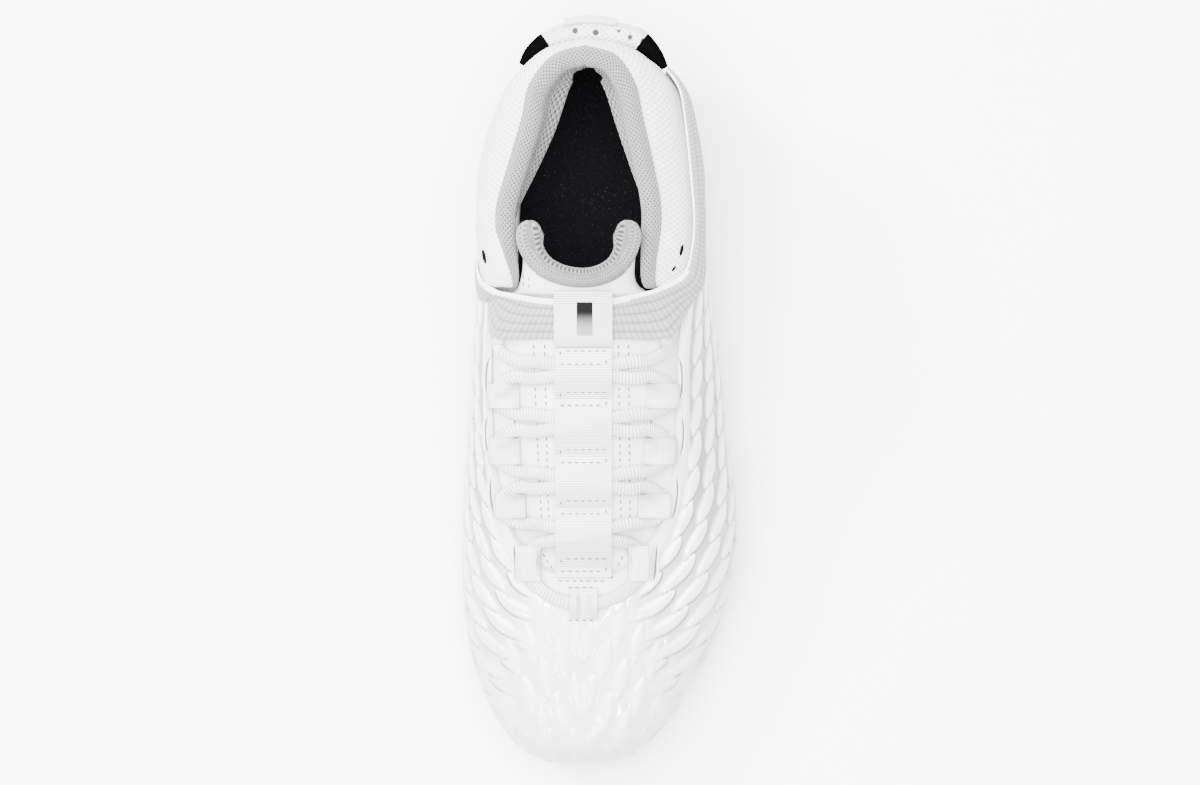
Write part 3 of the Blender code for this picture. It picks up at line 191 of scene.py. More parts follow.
# Ankle strap, dressed
STRAP_LENGTHS = 121          # stations round the ankle
STRAP_LEVELS = 11            # heights at which its reach is found
STRAP_LINES = 41             # lines of points across it
STRAP_RIBS = 5
RIB_ROUND = 0.6              # one is a round rib, less is squarer
RIB_LOW = 0.45               # thickness between the ribs, as a share of STRAP_THICK
STRAP_LOOK = (-1.5, 0.0, 1.5)           # places beside a station that it must clear, in stations
STRAP_FAR = 0.12             # furthest that it lies from the middle of the ankle
SQUARE_ON = 0.4              # least cosine at which STRAP_FRONT still bounds it
STRAP_SHIFT = 0.0015         # middle of the ankle, from MIDDLE_X
STRAP_PULLS = 160            # rounds that draw it tight
STRAP_SNUG = (27, 12)        # degrees from its inner end over which it comes to lie close
STRAP_SLIM = 14              # degrees from its inner end over which it gets its full thickness
STRAP_THIN = 0.3             # share of the thickness at the inner end
STRAP_TUCK = 0.0017          # how far the inner end's upper edge is tucked in
TUCK_STATIONS = 10
HEM = 3                      # lines of points that the hem takes where it is widest
HEM_LINES = [(48, HEM), (66, 2), (STRAP_LENGTHS, 1)]    # up to which station, and lines of hem there

# Heel pull, dressed
PULL_LENGTHS = 61            # stations along it
PULL_ROUND = 28              # points round it
PULL_LOOK = (-0.95, -0.5, 0.0, 0.5, 0.95)               # heights at which it must clear the collar
PULL_SMOOTHING = 12          # rounds
PULL_ENDS = 12               # stations of black cloth at each end

# Stitches and slits
STITCH_LONG = 0.0017
STITCH_GAP = 0.0011          # from the end of one to the start of the next
STITCH_THICK = 0.00065
STITCH_STEPS = 6             # finer points for each point of a curved row
STITCH_SHORTEST = 0.0005     # shorter ones are left out, and those that are steeper than this rise
STITCH_STEEPEST = 0.0026
STITCH_RISE = 0.22           # how far a stitch's middle lies above what carries it, in thicknesses
SLOT_DEEP = 0.0030
RIDGE_WIDE, RIDGE_TALL = 0.0016, 0.0016
RIDGE_OUT = 0.0010           # from the slit outwards
# dark spindle in each slit, a painted shadow
SLIT_WIDE, SLIT_TALL = 0.0009, 0.0005

# Camera and lamps
CAMERA_PLACE = (0.0, 0.0017, 2.0)
LENS = 145.2                 # millimetres, on a sensor of this width
SENSOR = 36.0
SKY = 0.30                   # strength of the white surroundings
LAMPS = [
    # name, place, target, size, watts
    ("overhead", (-0.20, 0.20, 2.7), (0, 0, 0.05), 2.0, 660.0),
    ("key", (-1.15, 0.75, 1.30), (0, 0, 0.05), 0.4, 80.0),
    ("glint", (-0.62, -1.05, 1.50), (0, -0.05, 0.05), 0.14, 18.0),
    ("glint_side", (0.50, -1.05, 1.50), (0, -0.05, 0.05), 0.12, 14.0),
]

# Colours
WHITE = (0.64, 0.64, 0.65)
# Painted shade in the valleys between the shell's scales, and a darker painted shadow line along their
# edges and in the slits beside the loops
PAINTED_VALLEY_SHADE = (0.21, 0.21, 0.217)
PAINTED_SHADOW_LINE = (0.085, 0.085, 0.088)
THREAD = (0.09, 0.09, 0.093)
BLACK = (0.002, 0.002, 0.002)

# Outline of the shell from above. y is a share of SHELL_LENGTH from the toe. inner, outer and tuck are
# shares of BALL_WIDTH: the two sides, and how far the edge on the plate lies inside them. mid is the
# height of the widest place above the plate, as a share of SHELL_HEIGHT.
OUTLINE = [
    # y,    inner,  outer,  tuck,  mid
    (0.000, -0.082, -0.082, 0.036, 0.090),
    (0.005, -0.216, 0.070, 0.036, 0.090),
    (0.020, -0.284, 0.146, 0.036, 0.090),
    (0.060, -0.374, 0.250, 0.034, 0.095),
    (0.120, -0.444, 0.347, 0.032, 0.110),
    (0.200, -0.488, 0.437, 0.032, 0.140),
    (0.280, -0.497, 0.489, 0.036, 0.170),
    (0.360, -0.493, 0.491, 0.045, 0.200),
    (0.450, -0.479, 0.458, 0.075, 0.260),
    (0.550, -0.462, 0.430, 0.090, 0.320),
    (0.650, -0.442, 0.395, 0.085, 0.330),
    (0.750, -0.424, 0.366, 0.075, 0.330),
    (0.850, -0.388, 0.342, 0.065, 0.330),
    (0.930, -0.310, 0.262, 0.058, 0.330),
    (0.975, -0.205, 0.162, 0.055, 0.330),
    (1.000, -0.025, -0.025, 0.050, 0.340),
]

# Top edge of the shell: throat, then ankle. row is the outline's y. y is a share of SHELL_LENGTH,
# inner and outer are shares of BALL_WIDTH, z is a share of SHELL_HEIGHT above the plate, lean is the
# slope of the wall there in degrees, and full is how square the wall's shoulder is.
TOP_EDGE = [
    # row,  y,     inner,  outer,  z,     lean, full
    (0.000, 0.262, -0.060, -0.060, 0.604, 24.0, 0.62),
    (0.005, 0.262, -0.108, -0.012, 0.603, 24.0, 0.61),
    (0.020, 0.262, -0.150, 0.030, 0.600, 24.0, 0.60),
    (0.060, 0.266, -0.200, 0.085, 0.590, 24.0, 0.58),
    (0.120, 0.284, -0.262, 0.145, 0.590, 26.0, 0.56),
    (0.200, 0.325, -0.328, 0.215, 0.620, 30.0, 0.56),
    (0.280, 0.375, -0.372, 0.262, 0.660, 38.0, 0.56),
    (0.360, 0.425, -0.395, 0.285, 0.720, 46.0, 0.56),
    (0.450, 0.490, -0.405, 0.292, 0.800, 54.0, 0.56),
    (0.550, 0.565, -0.405, 0.298, 0.900, 62.0, 0.55),
    (0.650, 0.655, -0.395, 0.322, 0.980, 72.0, 0.54),
    (0.750, 0.752, -0.396, 0.338, 0.860, 76.0, 0.54),
    (0.850, 0.848, -0.362, 0.308, 0.790, 78.0, 0.54),
    (0.930, 0.918, -0.290, 0.240, 0.850, 80.0, 0.54),
    (0.975, 0.958, -0.190, 0.146, 0.920, 82.0, 0.54),
    (1.000, 0.978, -0.032, -0.032, 0.960, 84.0, 0.54),
]

# Rise of the plate along the shoe: share of SHELL_LENGTH, share of TOE_SPRING, share of ARCH_RISE.
PLATE_LINE = [
    # y,    toe,  arch
    (0.000, 1.00, 0.00),
    (0.050, 0.66, 0.00),
    (0.120, 0.32, 0.00),
    (0.200, 0.08, 0.00),
    (0.270, 0.00, 0.00),
    (0.420, 0.00, 0.00),
    (0.520, 0.00, 0.75),
    (0.600, 0.00, 1.00),
    (0.690, 0.00, 0.55),
    (0.770, 0.00, 0.00),
    (1.000, 0.00, 0.00),
]

# Ridge of the tongue: y as a share of SHELL_LENGTH, z as a share of INSTEP_HEIGHT above the plate.
RIDGE = [
    # y,    z
    (0.215, 0.480),
    (0.262, 0.555),
    (0.320, 0.680),
    (0.380, 0.775),
    (0.450, 0.880),
    (0.520, 0.970),
    (0.580, 1.070),
    (0.640, 1.210),
]

# Upper part of the tongue, above the throat. y and back are shares of SHELL_LENGTH: the middle, and
# how much further back the sides end. inner and outer are half widths as shares of BALL_WIDTH. z and
# drop are shares of TONGUE_HEIGHT: the middle above the plate, and how far the sides hang below it.
# thick is a share of TONGUE_WALL.
TONGUE_TOP = [
    # y,    z,     inner, outer, back,  drop,  thick
    (0.640, 0.930, 0.236, 0.204, 0.010, 0.130, 1.00),
    (0.646, 0.962, 0.214, 0.186, 0.050, 0.070, 1.40),
    (0.650, 0.984, 0.236, 0.204, 0.076, 0.055, 2.00),
    (0.652, 1.000, 0.241, 0.210, 0.084, 0.050, 2.10),
]

# Thickness of the tongue's padded rim from its middle to the ends of its two wings, as shares of
# its thickness in the middle.
WING = [1.00, 1.03, 1.12, 1.36, 1.62, 0.80]

# Collar. row is the outline's y. Each curve's y is a share of SHELL_LENGTH, its inner and outer side
# are shares of BALL_WIDTH and its z is a share of COLLAR_HEIGHT above the plate. bulge is the widest
# place outside, seam the edge of the lining, pad the innermost place of the padding.
COLLAR = [
    # row,  bulge y, inner,  outer, z,     seam y, inner,  outer, z,     pad y, inner,  outer,  z
    (0.650, 0.644, -0.420, 0.344, 0.800, 0.650, -0.355, 0.215, 0.960, 0.660, -0.350, 0.210, 0.800),
    (0.700, 0.705, -0.438, 0.348, 0.800, 0.712, -0.368, 0.216, 0.985, 0.712, -0.318, 0.182, 0.760),
    (0.750, 0.750, -0.442, 0.350, 0.780, 0.756, -0.368, 0.218, 0.990, 0.755, -0.292, 0.165, 0.720),
    (0.810, 0.806, -0.436, 0.346, 0.770, 0.814, -0.325, 0.190, 0.985, 0.806, -0.228, 0.118, 0.680),
    (0.870, 0.864, -0.398, 0.318, 0.780, 0.872, -0.280, 0.155, 0.985, 0.862, -0.160, 0.066, 0.680),
    (0.930, 0.918, -0.328, 0.270, 0.800, 0.918, -0.252, 0.128, 0.990, 0.915, -0.112, 0.018, 0.690),
    (0.975, 0.956, -0.192, 0.154, 0.820, 0.956, -0.170, 0.060, 0.998, 0.938, -0.078, -0.018, 0.700),
    (1.000, 0.968, -0.034, -0.034, 0.830, 0.970, -0.054, -0.054, 1.000, 0.942, -0.048, -0.048, 0.700),
]

# Lace rows that cross under the strip, and the places between them where the strip is stitched
# down, both as shares of SHELL_LENGTH.
CROSSINGS = [0.320, 0.391, 0.469, 0.540]
STITCHED = [0.270, 0.354, 0.424, 0.501]

# Turns of the lace above each crossing: how far the inner and outer turns reach out, as shares of
# BALL_WIDTH.
TURNS = [
    # inner,  outer
    (-0.358, 0.228),
    (-0.376, 0.246),
    (-0.378, 0.256),
    (-0.366, 0.240),
]

# Elastic strap. angle goes round the ankle from the front, towards the outer side. low and high are
# the strap's edges above the plate, as shares of COLLAR_HEIGHT.
STRAP = [
    # angle, low,   high
    (-61.0, 0.735, 0.845),
    (-54.0, 0.735, 0.895),
    (-40.0, 0.800, 0.945),
    (-20.0, 0.862, 0.980),
    (0.0, 0.882, 0.990),
    (20.0, 0.866, 0.980),
    (40.0, 0.812, 0.950),
    (60.0, 0.740, 0.910),
    (85.0, 0.690, 0.885),
    (115.0, 0.680, 0.870),
    (148.0, 0.700, 0.850),
]

# Heel pull. angle goes round the heel from its back, towards the outer side. thick and tall are
# shares of PULL_THICK and PULL_HEIGHT.
PULL = [
    # angle, thick, tall
    (-58.0, 0.30, 0.45),
    (-48.0, 0.58, 0.80),
    (-32.0, 0.84, 0.98),
    (-12.0, 1.00, 1.00),
    (12.0, 1.00, 1.00),
    (34.0, 0.98, 0.98),
    (50.0, 0.62, 0.80),
    (62.0, 0.30, 0.45),
]

# Folds of the lining at the back of the collar, from its middle there.
GATHERS = [
    # x,      deep,   wide
    (0.0, 0.0034, 0.0016),
    (0.0042, 0.0016, 0.0016),
    (-0.0044, 0.0014, 0.0016),
    (0.009, 0.0007, 0.002),
    (-0.009, 0.0007, 0.002),
]

# Rows of stitches. Each point is a share of BALL_WIDTH across and a share of SHELL_LENGTH along.
TONGUE_STITCHES = [
    [(-0.237, 0.574), (-0.226, 0.450), (-0.210, 0.323)],
    [(-0.198, 0.574), (-0.192, 0.450), (-0.185, 0.323)],
    [(0.065, 0.574), (0.071, 0.450), (0.076, 0.323)],
    [(0.101, 0.574), (0.105, 0.450), (0.109, 0.323)],
    [(-0.272, 0.666), (-0.270, 0.640)],
    [(-0.252, 0.663), (-0.251, 0.640)],
    [(-0.322, 0.540), (-0.300, 0.440), (-0.272, 0.345)],
    [(0.196, 0.540), (0.178, 0.440), (0.150, 0.345)],
]
SHELL_STITCHES = [
    [(-0.208, 0.290), (-0.152, 0.256)],
    [(-0.152, 0.2530), (0.040, 0.2530)],
    [(0.040, 0.256), (0.096, 0.295)],
    [(-0.116, 0.2440), (-0.004, 0.2440)],
    [(-0.116, 0.1985), (-0.004, 0.1985)],
]

# Small dark slots in the collar's knit: name, middle, length, width, and turn in degrees.
SLOTS = [
    # name,         x,       y,      long,   wide,   turn
    ("slot_inner", -0.0452, 0.0548, 0.0058, 0.0016, 12.0),
    ("slot_outer", 0.0318, 0.0572, 0.0046, 0.0014, -14.0),
    ("slot_front", 0.0288, 0.0500, 0.0026, 0.0010, -40.0),
]

# Slits beside the loops: middle, length, bend and turn in degrees.
SLITS = [
    # x,       y,       long,   bend,    turn
    (-0.0440, 0.0075, 0.0165, -0.0012, -2.0),
    (-0.0444, -0.0157, 0.0160, -0.0012, 2.0),
    (-0.0424, -0.0405, 0.0170, -0.0012, 6.0),
    (0.0314, 0.0075, 0.0165, 0.0012, 2.0),
    (0.0320, -0.0157, 0.0160, 0.0012, -2.0),
    (0.0296, -0.0405, 0.0170, 0.0012, -6.0),
    (-0.0338, -0.0665, 0.0150, -0.0002, 4.0),
    (0.0222, -0.0665, 0.0150, 0.0002, -4.0),
]


# Curves and tables

def spline(rows, column, at):
    """Smooth curve through one column of a table whose first column rises."""
    keys = [row[0] for row in rows]
    at = min(max(at, keys[0]), keys[-1])
    i = min(max(bisect_right(keys, at) - 1, 0), len(keys) - 2)
    span = keys[i + 1] - keys[i]

    def slope(j):
        if j == 0:
            return (rows[1][column] - rows[0][column]) / (keys[1] - keys[0])
        if j == len(keys) - 1:
            return (rows[-1][column] - rows[-2][column]) / (keys[-1] - keys[-2])
        return (rows[j + 1][column] - rows[j - 1][column]) / (keys[j + 1] - keys[j - 1])

    t = (at - keys[i]) / span
    start = rows[i][column]
    end = rows[i + 1][column]
    return ((2 * t ** 3 - 3 * t ** 2 + 1) * start + (t ** 3 - 2 * t ** 2 + t) * span * slope(i)
            + (3 * t ** 2 - 2 * t ** 3) * end + (t ** 3 - t ** 2) * span * slope(i + 1))


def turn_of(share):
    """Angle from the toe, 0, to the heel, pi, of a share of the length: it makes round ends."""
    return math.acos(1 - 2 * min(max(share, 0.0), 1.0))


def by_turn(rows):
    return [(turn_of(row[0]),) + tuple(row[1:]) for row in rows]


OUTLINE_TURN = by_turn(OUTLINE)
TOP_TURN = by_turn(TOP_EDGE)
COLLAR_TURN = by_turn(COLLAR)


def bezier(p0, p1, p2, p3, t):
    s = 1 - t
    return p0 * s ** 3 + p1 * (3 * s * s * t) + p2 * (3 * s * t * t) + p3 * t ** 3


def smooth(points, per_span, closed=False):
    """Points along a smooth curve that passes through the given points."""
    count = len(points)
    spans = count if closed else count - 1
    result = []
    for i in range(spans):
        a = points[(i - 1) % count] if closed or i > 0 else points[0]
        b = points[i]
        c = points[(i + 1) % count]
        d = points[(i + 2) % count] if closed or i + 2 < count else points[-1]
        for j in range(per_span):
            t = j / per_span
            result.append(0.5 * ((2 * b) + (c - a) * t + (2 * a - 5 * b + 4 * c - d) * t * t
                                 + (3 * b - a - 3 * c + d) * t ** 3))
    if not closed:
        result.append(points[-1].copy())
    return result


# The last: what every piece takes its shape from

def share_y(share):
    return TOE_Y + share * SHELL_LENGTH


def plate_top(y):
    share = (y - TOE_Y) / SHELL_LENGTH
    return (PLATE_TOP + TOE_SPRING * spline(PLATE_LINE, 1, share)
            + ARCH_RISE * spline(PLATE_LINE, 2, share))


def side_column(side):
    return 1 if side < 0 else 2


def widest(side, turn):
    """Widest place of the shell at a turn, on the inner (-1) or outer (1) side."""
    y = TOE_Y + SHELL_LENGTH * 0.5 * (1 - math.cos(turn))
    x = BALL_WIDTH * spline(OUTLINE_TURN, side_column(side), turn)
    z = plate_top(y) + SHELL_HEIGHT * spline(OUTLINE_TURN, 4, turn)
    return Vector((x, y, z))


def outward(side, turn):
    """Level direction that points out of the outline."""
    step = 0.01
    if turn < step:
        return Vector((0, -1, 0))
    if turn > math.pi - step:
        return Vector((0, 1, 0))
    along = widest(side, turn + step) - widest(side, turn - step)
    return Vector((side * abs(along.y), -side * along.x, 0)).normalized()


def foot_edge(side, turn):
    """Edge of the shell on the plate."""
    place = widest(side, turn) - outward(side, turn) * (BALL_WIDTH * spline(OUTLINE_TURN, 3, turn))
    place.z = plate_top(place.y) + CLEARANCE
    return place


def top_edge(side, turn):
    column = 2 if side < 0 else 3
    return Vector((BALL_WIDTH * spline(TOP_TURN, column, turn),
                   share_y(spline(TOP_TURN, 1, turn)),
                   PLATE_TOP + SHELL_HEIGHT * spline(TOP_TURN, 4, turn)))


def shell_skin(side, turn, way):
    """Outside of the last, from the plate (way 0) to the shell's top edge (way 1)."""
    foot = foot_edge(side, turn)
    wide = widest(side, turn)
    if way < LOW_PART:
        out = wide - foot
        low = foot + Vector((out.x * 0.55, out.y * 0.55, out.z * 0.30))
        high = wide - Vector((0, 0, out.z * 0.50))
        return bezier(foot, low, high, wide, way / LOW_PART)
    top = top_edge(side, turn)
    run = top - wide
    lean = math.radians(spline(TOP_TURN, 5, turn))
    full = spline(TOP_TURN, 6, turn)
    level = Vector((run.x, run.y, 0))
    reach = level.length
    level.normalize()
    into = level * math.cos(lean) + Vector((0, 0, 1)) * math.sin(lean)
    first = wide + Vector((0, 0, run.z * full))
    last = top - into * (0.42 * math.hypot(reach, 0.55 * run.z))
    return bezier(wide, first, last, top, (way - LOW_PART) / (1 - LOW_PART))


def skin_normal(side, turn, way):
    step = 0.012
    low = max(way - step, 0.0)
    high = min(way + step, 1.0)
    up = shell_skin(side, turn, high) - shell_skin(side, turn, low)
    near_end = turn < step or turn > math.pi - step
    if near_end:
        inside = min(max(turn, step), math.pi - step)
        along = shell_skin(1, inside, way) - shell_skin(-1, inside, way)
        along *= 1 if turn < step else -1
        return along.cross(up).normalized()
    along = shell_skin(side, turn + step, way) - shell_skin(side, turn - step, way)
    return (along.cross(up) * side).normalized()


def shell_point(side, turn, way, depth):
    """Point at a depth under the skin of the last: below zero is outside it."""
    return shell_skin(side, turn, way) - skin_normal(side, turn, way) * depth


def ramp(value, start, end):
    t = min(max((value - start) / (end - start), 0.0), 1.0)
    return t * t * (3 - 2 * t)


def raised(turn, way):
    """Raised rim along the top edge and raised counter round the heel."""
    rim = ramp(way, RIM_START, RIM_END)
    heel_turn = turn_of(COUNTER_START)
    behind = ramp(turn, heel_turn - 0.05, heel_turn + 0.05)
    counter = behind * ramp(way, 0.30, 0.24) * ramp(way, 0.02, 0.10)
    return STEP * max(rim, counter)


class Cover:
    """Surfaces of finished pieces, for laying others on them."""

    def __init__(self, *objects):
        self.trees = []
        for thing in objects:
            points = [v.co.copy() for v in thing.data.vertices]
            polygons = [tuple(p.vertices) for p in thing.data.polygons]
            self.trees.append(BVHTree.FromPolygons(points, polygons))

    def height(self, x, y):
        """Highest surface at a place seen from above."""
        best = None
        for tree in self.trees:
            hit = tree.ray_cast(Vector((x, y, 0.3)), Vector((0, 0, -1)))[0]
            if hit and (best is None or hit.z > best):
                best = hit.z
        return best

    def ground(self, place):
        """Height to lay a point at: the surface, or the floor where there is none."""
        rest = self.height(place.x, place.y)
        return rest if rest is not None else 0.0

    def near(self, x, y, wide, deep):
        """Highest surface in a small oblong round a place."""
        return max(self.height(x + wide * i / 2, y + deep * j / 2)
                   for i in (-2, -1, 0, 1, 2) for j in (-2, -1, 0, 1, 2))

    def reach(self, centre, direction, far=0.15):
        """Distance from centre to the outermost surface along a direction."""
        best = None
        for tree in self.trees:
            hit = tree.ray_cast(centre + direction * far, -direction, far)[0]
            if hit:
                distance = (hit - centre).length
                best = distance if best is None else max(best, distance)
        return best


def collar_point(side, turn, first):
    """Point of one of the collar's curves: first is the table's column of its y."""
    column = first + (1 if side < 0 else 2)
    return Vector((BALL_WIDTH * spline(COLLAR_TURN, column, turn),
                   share_y(spline(COLLAR_TURN, first, turn)),
                   PLATE_TOP + COLLAR_HEIGHT * spline(COLLAR_TURN, first + 3, turn)))


def collar_section(side, turn):
    """Closed section of the collar, up its outside and down its inside."""
    gap = WALL + CLEARANCE
    outside = [shell_point(side, turn, way, gap) for way in COLLAR_WAYS]
    bulge = collar_point(side, turn, BULGE)
    seam = collar_point(side, turn, SEAM)
    pad = collar_point(side, turn, PAD)
    across = -outward(side, turn)
    roll = COLLAR_ROLL
    crest = seam + across * roll + Vector((0, 0, 0.5 * roll))
    brow = crest + across * roll - Vector((0, 0, 0.9 * roll))
    above = outside[-1] + Vector((0, 0, CLEARANCE * 2))
    out_low = bulge + (above - bulge) * 0.45 - across * HOLLOW
    out_high = bulge + (seam - bulge) * 0.55 - across * WAIST + Vector((0, 0, 0.001))
    inside = [shell_point(side, turn, way, gap + LINING) for way in reversed(COLLAR_WAYS[:3])]
    throat = pad + (brow - pad) * 0.5 - across * HOLLOW
    waist = inside[0] + (pad - inside[0]) * 0.55 - across * HOLLOW
    return outside + [out_low, bulge, out_high, seam, crest, brow, throat, pad, waist] + inside


def turn_at_throat(side, y):
    """Turn at which the shell's top edge has a given y, along the throat."""
    low, high = turn_of(0.02), turn_of(0.70)
    for _ in range(30):
        middle = 0.5 * (low + high)
        if top_edge(side, middle).y < y:
            low = middle
        else:
            high = middle
    return 0.5 * (low + high)


def throat_section(share):
    """Tongue across the throat: its sides tuck under the shell's edges."""
    y = share_y(share)
    ridge = Vector((MIDDLE_X, y, PLATE_TOP + INSTEP_HEIGHT * spline(RIDGE, 1, share)))
    line = []
    for side in (-1, 1):
        turn = turn_at_throat(side, y)
        depth = WALL + TUCK * (1 + 2 * ramp(share, 0.35, 0.29))
        foot = shell_point(side, turn, UNDER, depth)
        edge = shell_point(side, turn, 1.0, depth)
        level = abs(ridge.x - edge.x)
        rise = (edge - foot).normalized()
        first = edge + rise * 0.30 * level
        second = ridge - Vector((-side * 0.55 * level, 0, 0))
        line.append([foot] + [bezier(edge, first, second, ridge, k / (HALF_COLUMNS - 1))
                              for k in range(HALF_COLUMNS)])
    return line[0] + list(reversed(line[1]))[1:]


def top_section(row):
    """Tongue above the throat, curled round the front of the ankle."""
    y, z, inner, outer, back, drop, _ = row
    line = []
    most = math.radians(TONGUE_CURL)
    for k in range(-HALF_COLUMNS, HALF_COLUMNS + 1):
        way = k / HALF_COLUMNS
        half = BALL_WIDTH * (inner if way < 0 else outer)
        curl = way * most
        bend = (1 - math.cos(curl)) / (1 - math.cos(most))
        line.append(Vector((MIDDLE_X + half * math.sin(curl),
                            share_y(y) + SHELL_LENGTH * back * bend,
                            PLATE_TOP + TONGUE_HEIGHT * (z - drop * bend))))
    return line


def grid_normals(grid):
    rows = len(grid)
    columns = len(grid[0])
    result = []
    for i in range(rows):
        line = []
        for j in range(columns):
            along = grid[min(i + 1, rows - 1)][j] - grid[max(i - 1, 0)][j]
            across = grid[i][min(j + 1, columns - 1)] - grid[i][max(j - 1, 0)]
            line.append(across.cross(along).normalized())
        result.append(line)
    return result


def toe_rows(share):
    """The tongue's lower end: two rows tucked under the bottom of the throat."""
    last = {side: turn_at_throat(side, share_y(share)) for side in (-1, 1)}
    rows = []
    for way in (0.93, 0.985):
        line = []
        for k in range(-HALF_COLUMNS, HALF_COLUMNS + 1):
            side = -1 if k < 0 else 1
            part = abs(k) / HALF_COLUMNS
            depth = WALL + TUCK * (1 + 2 * part)
            line.append(shell_point(side, last[side] * part, way, depth))
        rows.append(line)
    return rows


def taut(line, up):
    """Heights of a sheet pulled tight over a row of points: no dips between the high places."""
    hull = []
    for k, (run, height) in enumerate(line):
        while len(hull) > 1:
            a, b = hull[-2], hull[-1]
            if (b[0] - a[0]) * (height - a[1]) >= (b[1] - a[1]) * (run - a[0]):
                hull.pop()
            else:
                break
        hull.append((run, height))
    result = []
    for run, _ in line:
        i = max(k for k in range(len(hull) - 1) if hull[k][0] <= run + 1e-9) if run > hull[0][0] else 0
        a, b = hull[i], hull[i + 1]
        result.append(a[1] + (b[1] - a[1]) * (run - a[0]) / (b[0] - a[0]) + up)
    return result


def lace_route(first_side):
    """Middle line of one half of the lace, seen from above, from its top end down to the toe."""
    half = 0.5 * LACE_WIDTH
    centre = Vector((MIDDLE_X, 0, 0))
    route = []
    side = first_side
    rows = len(CROSSINGS)
    for k in reversed(range(rows)):
        column = 0 if side < 0 else 1
        low = share_y(CROSSINGS[k]) + 0.95 * half
        high = (share_y(CROSSINGS[k + 1]) - 0.95 * half) if k + 1 < rows else share_y(0.600)
        reach = BALL_WIDTH * TURNS[k][column] - centre.x
        points = [(0.45, high - 0.03 * (high - low)), (0.78, high - 0.02 * (high - low)),
                  (0.96, high - 0.26 * (high - low)), (1.0, 0.5 * (high + low)),
                  (0.95, low + 0.26 * (high - low)), (0.76, low + 0.06 * (high - low)),
                  (0.45, low)]
        if k + 1 == rows:
            points = [(0.90, high)] + points[2:]
        route += [Vector((centre.x + reach * part, y, 0)) for part, y in points]
        side = -side
    # Lowest turn, round into the small loop at the toe
    foot = share_y(CROSSINGS[0]) - 0.95 * half
    end = share_y(TOE_LOOP_AT)
    wide = BALL_WIDTH * (LOW_TURN_INNER if side < 0 else LOW_TURN_OUTER) - centre.x
    drop = foot - end
    route += [Vector((centre.x + wide * part, foot - drop * fall, 0))
              for part, fall in ((0.50, 0.02), (0.86, 0.12), (1.0, 0.36), (0.92, 0.64),
                                 (0.64, 0.86), (0.34, 0.97), (0.12, 1.0))]
    return route


def strip_grid(under, start, end, width, rows, columns, pinned):
    """Underside of webbing along the ridge, taut between the places where it is stitched down."""
    stations = [start + (end - start) * i / (rows - 1) for i in range(rows)]
    step_x = 0.5 * width / (columns - 1)
    step_y = 0.5 * abs(end - start) / (rows - 1)
    grid = [[None] * columns for _ in stations]
    nearest = [min(range(rows), key=lambda i: abs(stations[i] - place)) for place in pinned]
    breaks = sorted(set([0, rows - 1] + nearest))
    for j in range(columns):
        x = MIDDLE_X + width * (j / (columns - 1) - 0.5)
        raw = [under.near(x, y, step_x, step_y) for y in stations]
        for a, b in zip(breaks, breaks[1:]):
            part = [(stations[i] - stations[a], raw[i]) for i in range(a, b + 1)]
            if part[-1][0] < 0:
                part = [(-run, z) for run, z in part]
            for i, z in zip(range(a, b + 1), taut(part, 1.5 * CLEARANCE)):
                if grid[i][j] is None or grid[i][j].z < z:
                    grid[i][j] = Vector((x, stations[i], z))
    return grid


def heel_centre():
    return Vector((HEEL_X * BALL_WIDTH, share_y(HEEL_Y), 0))


# Looks

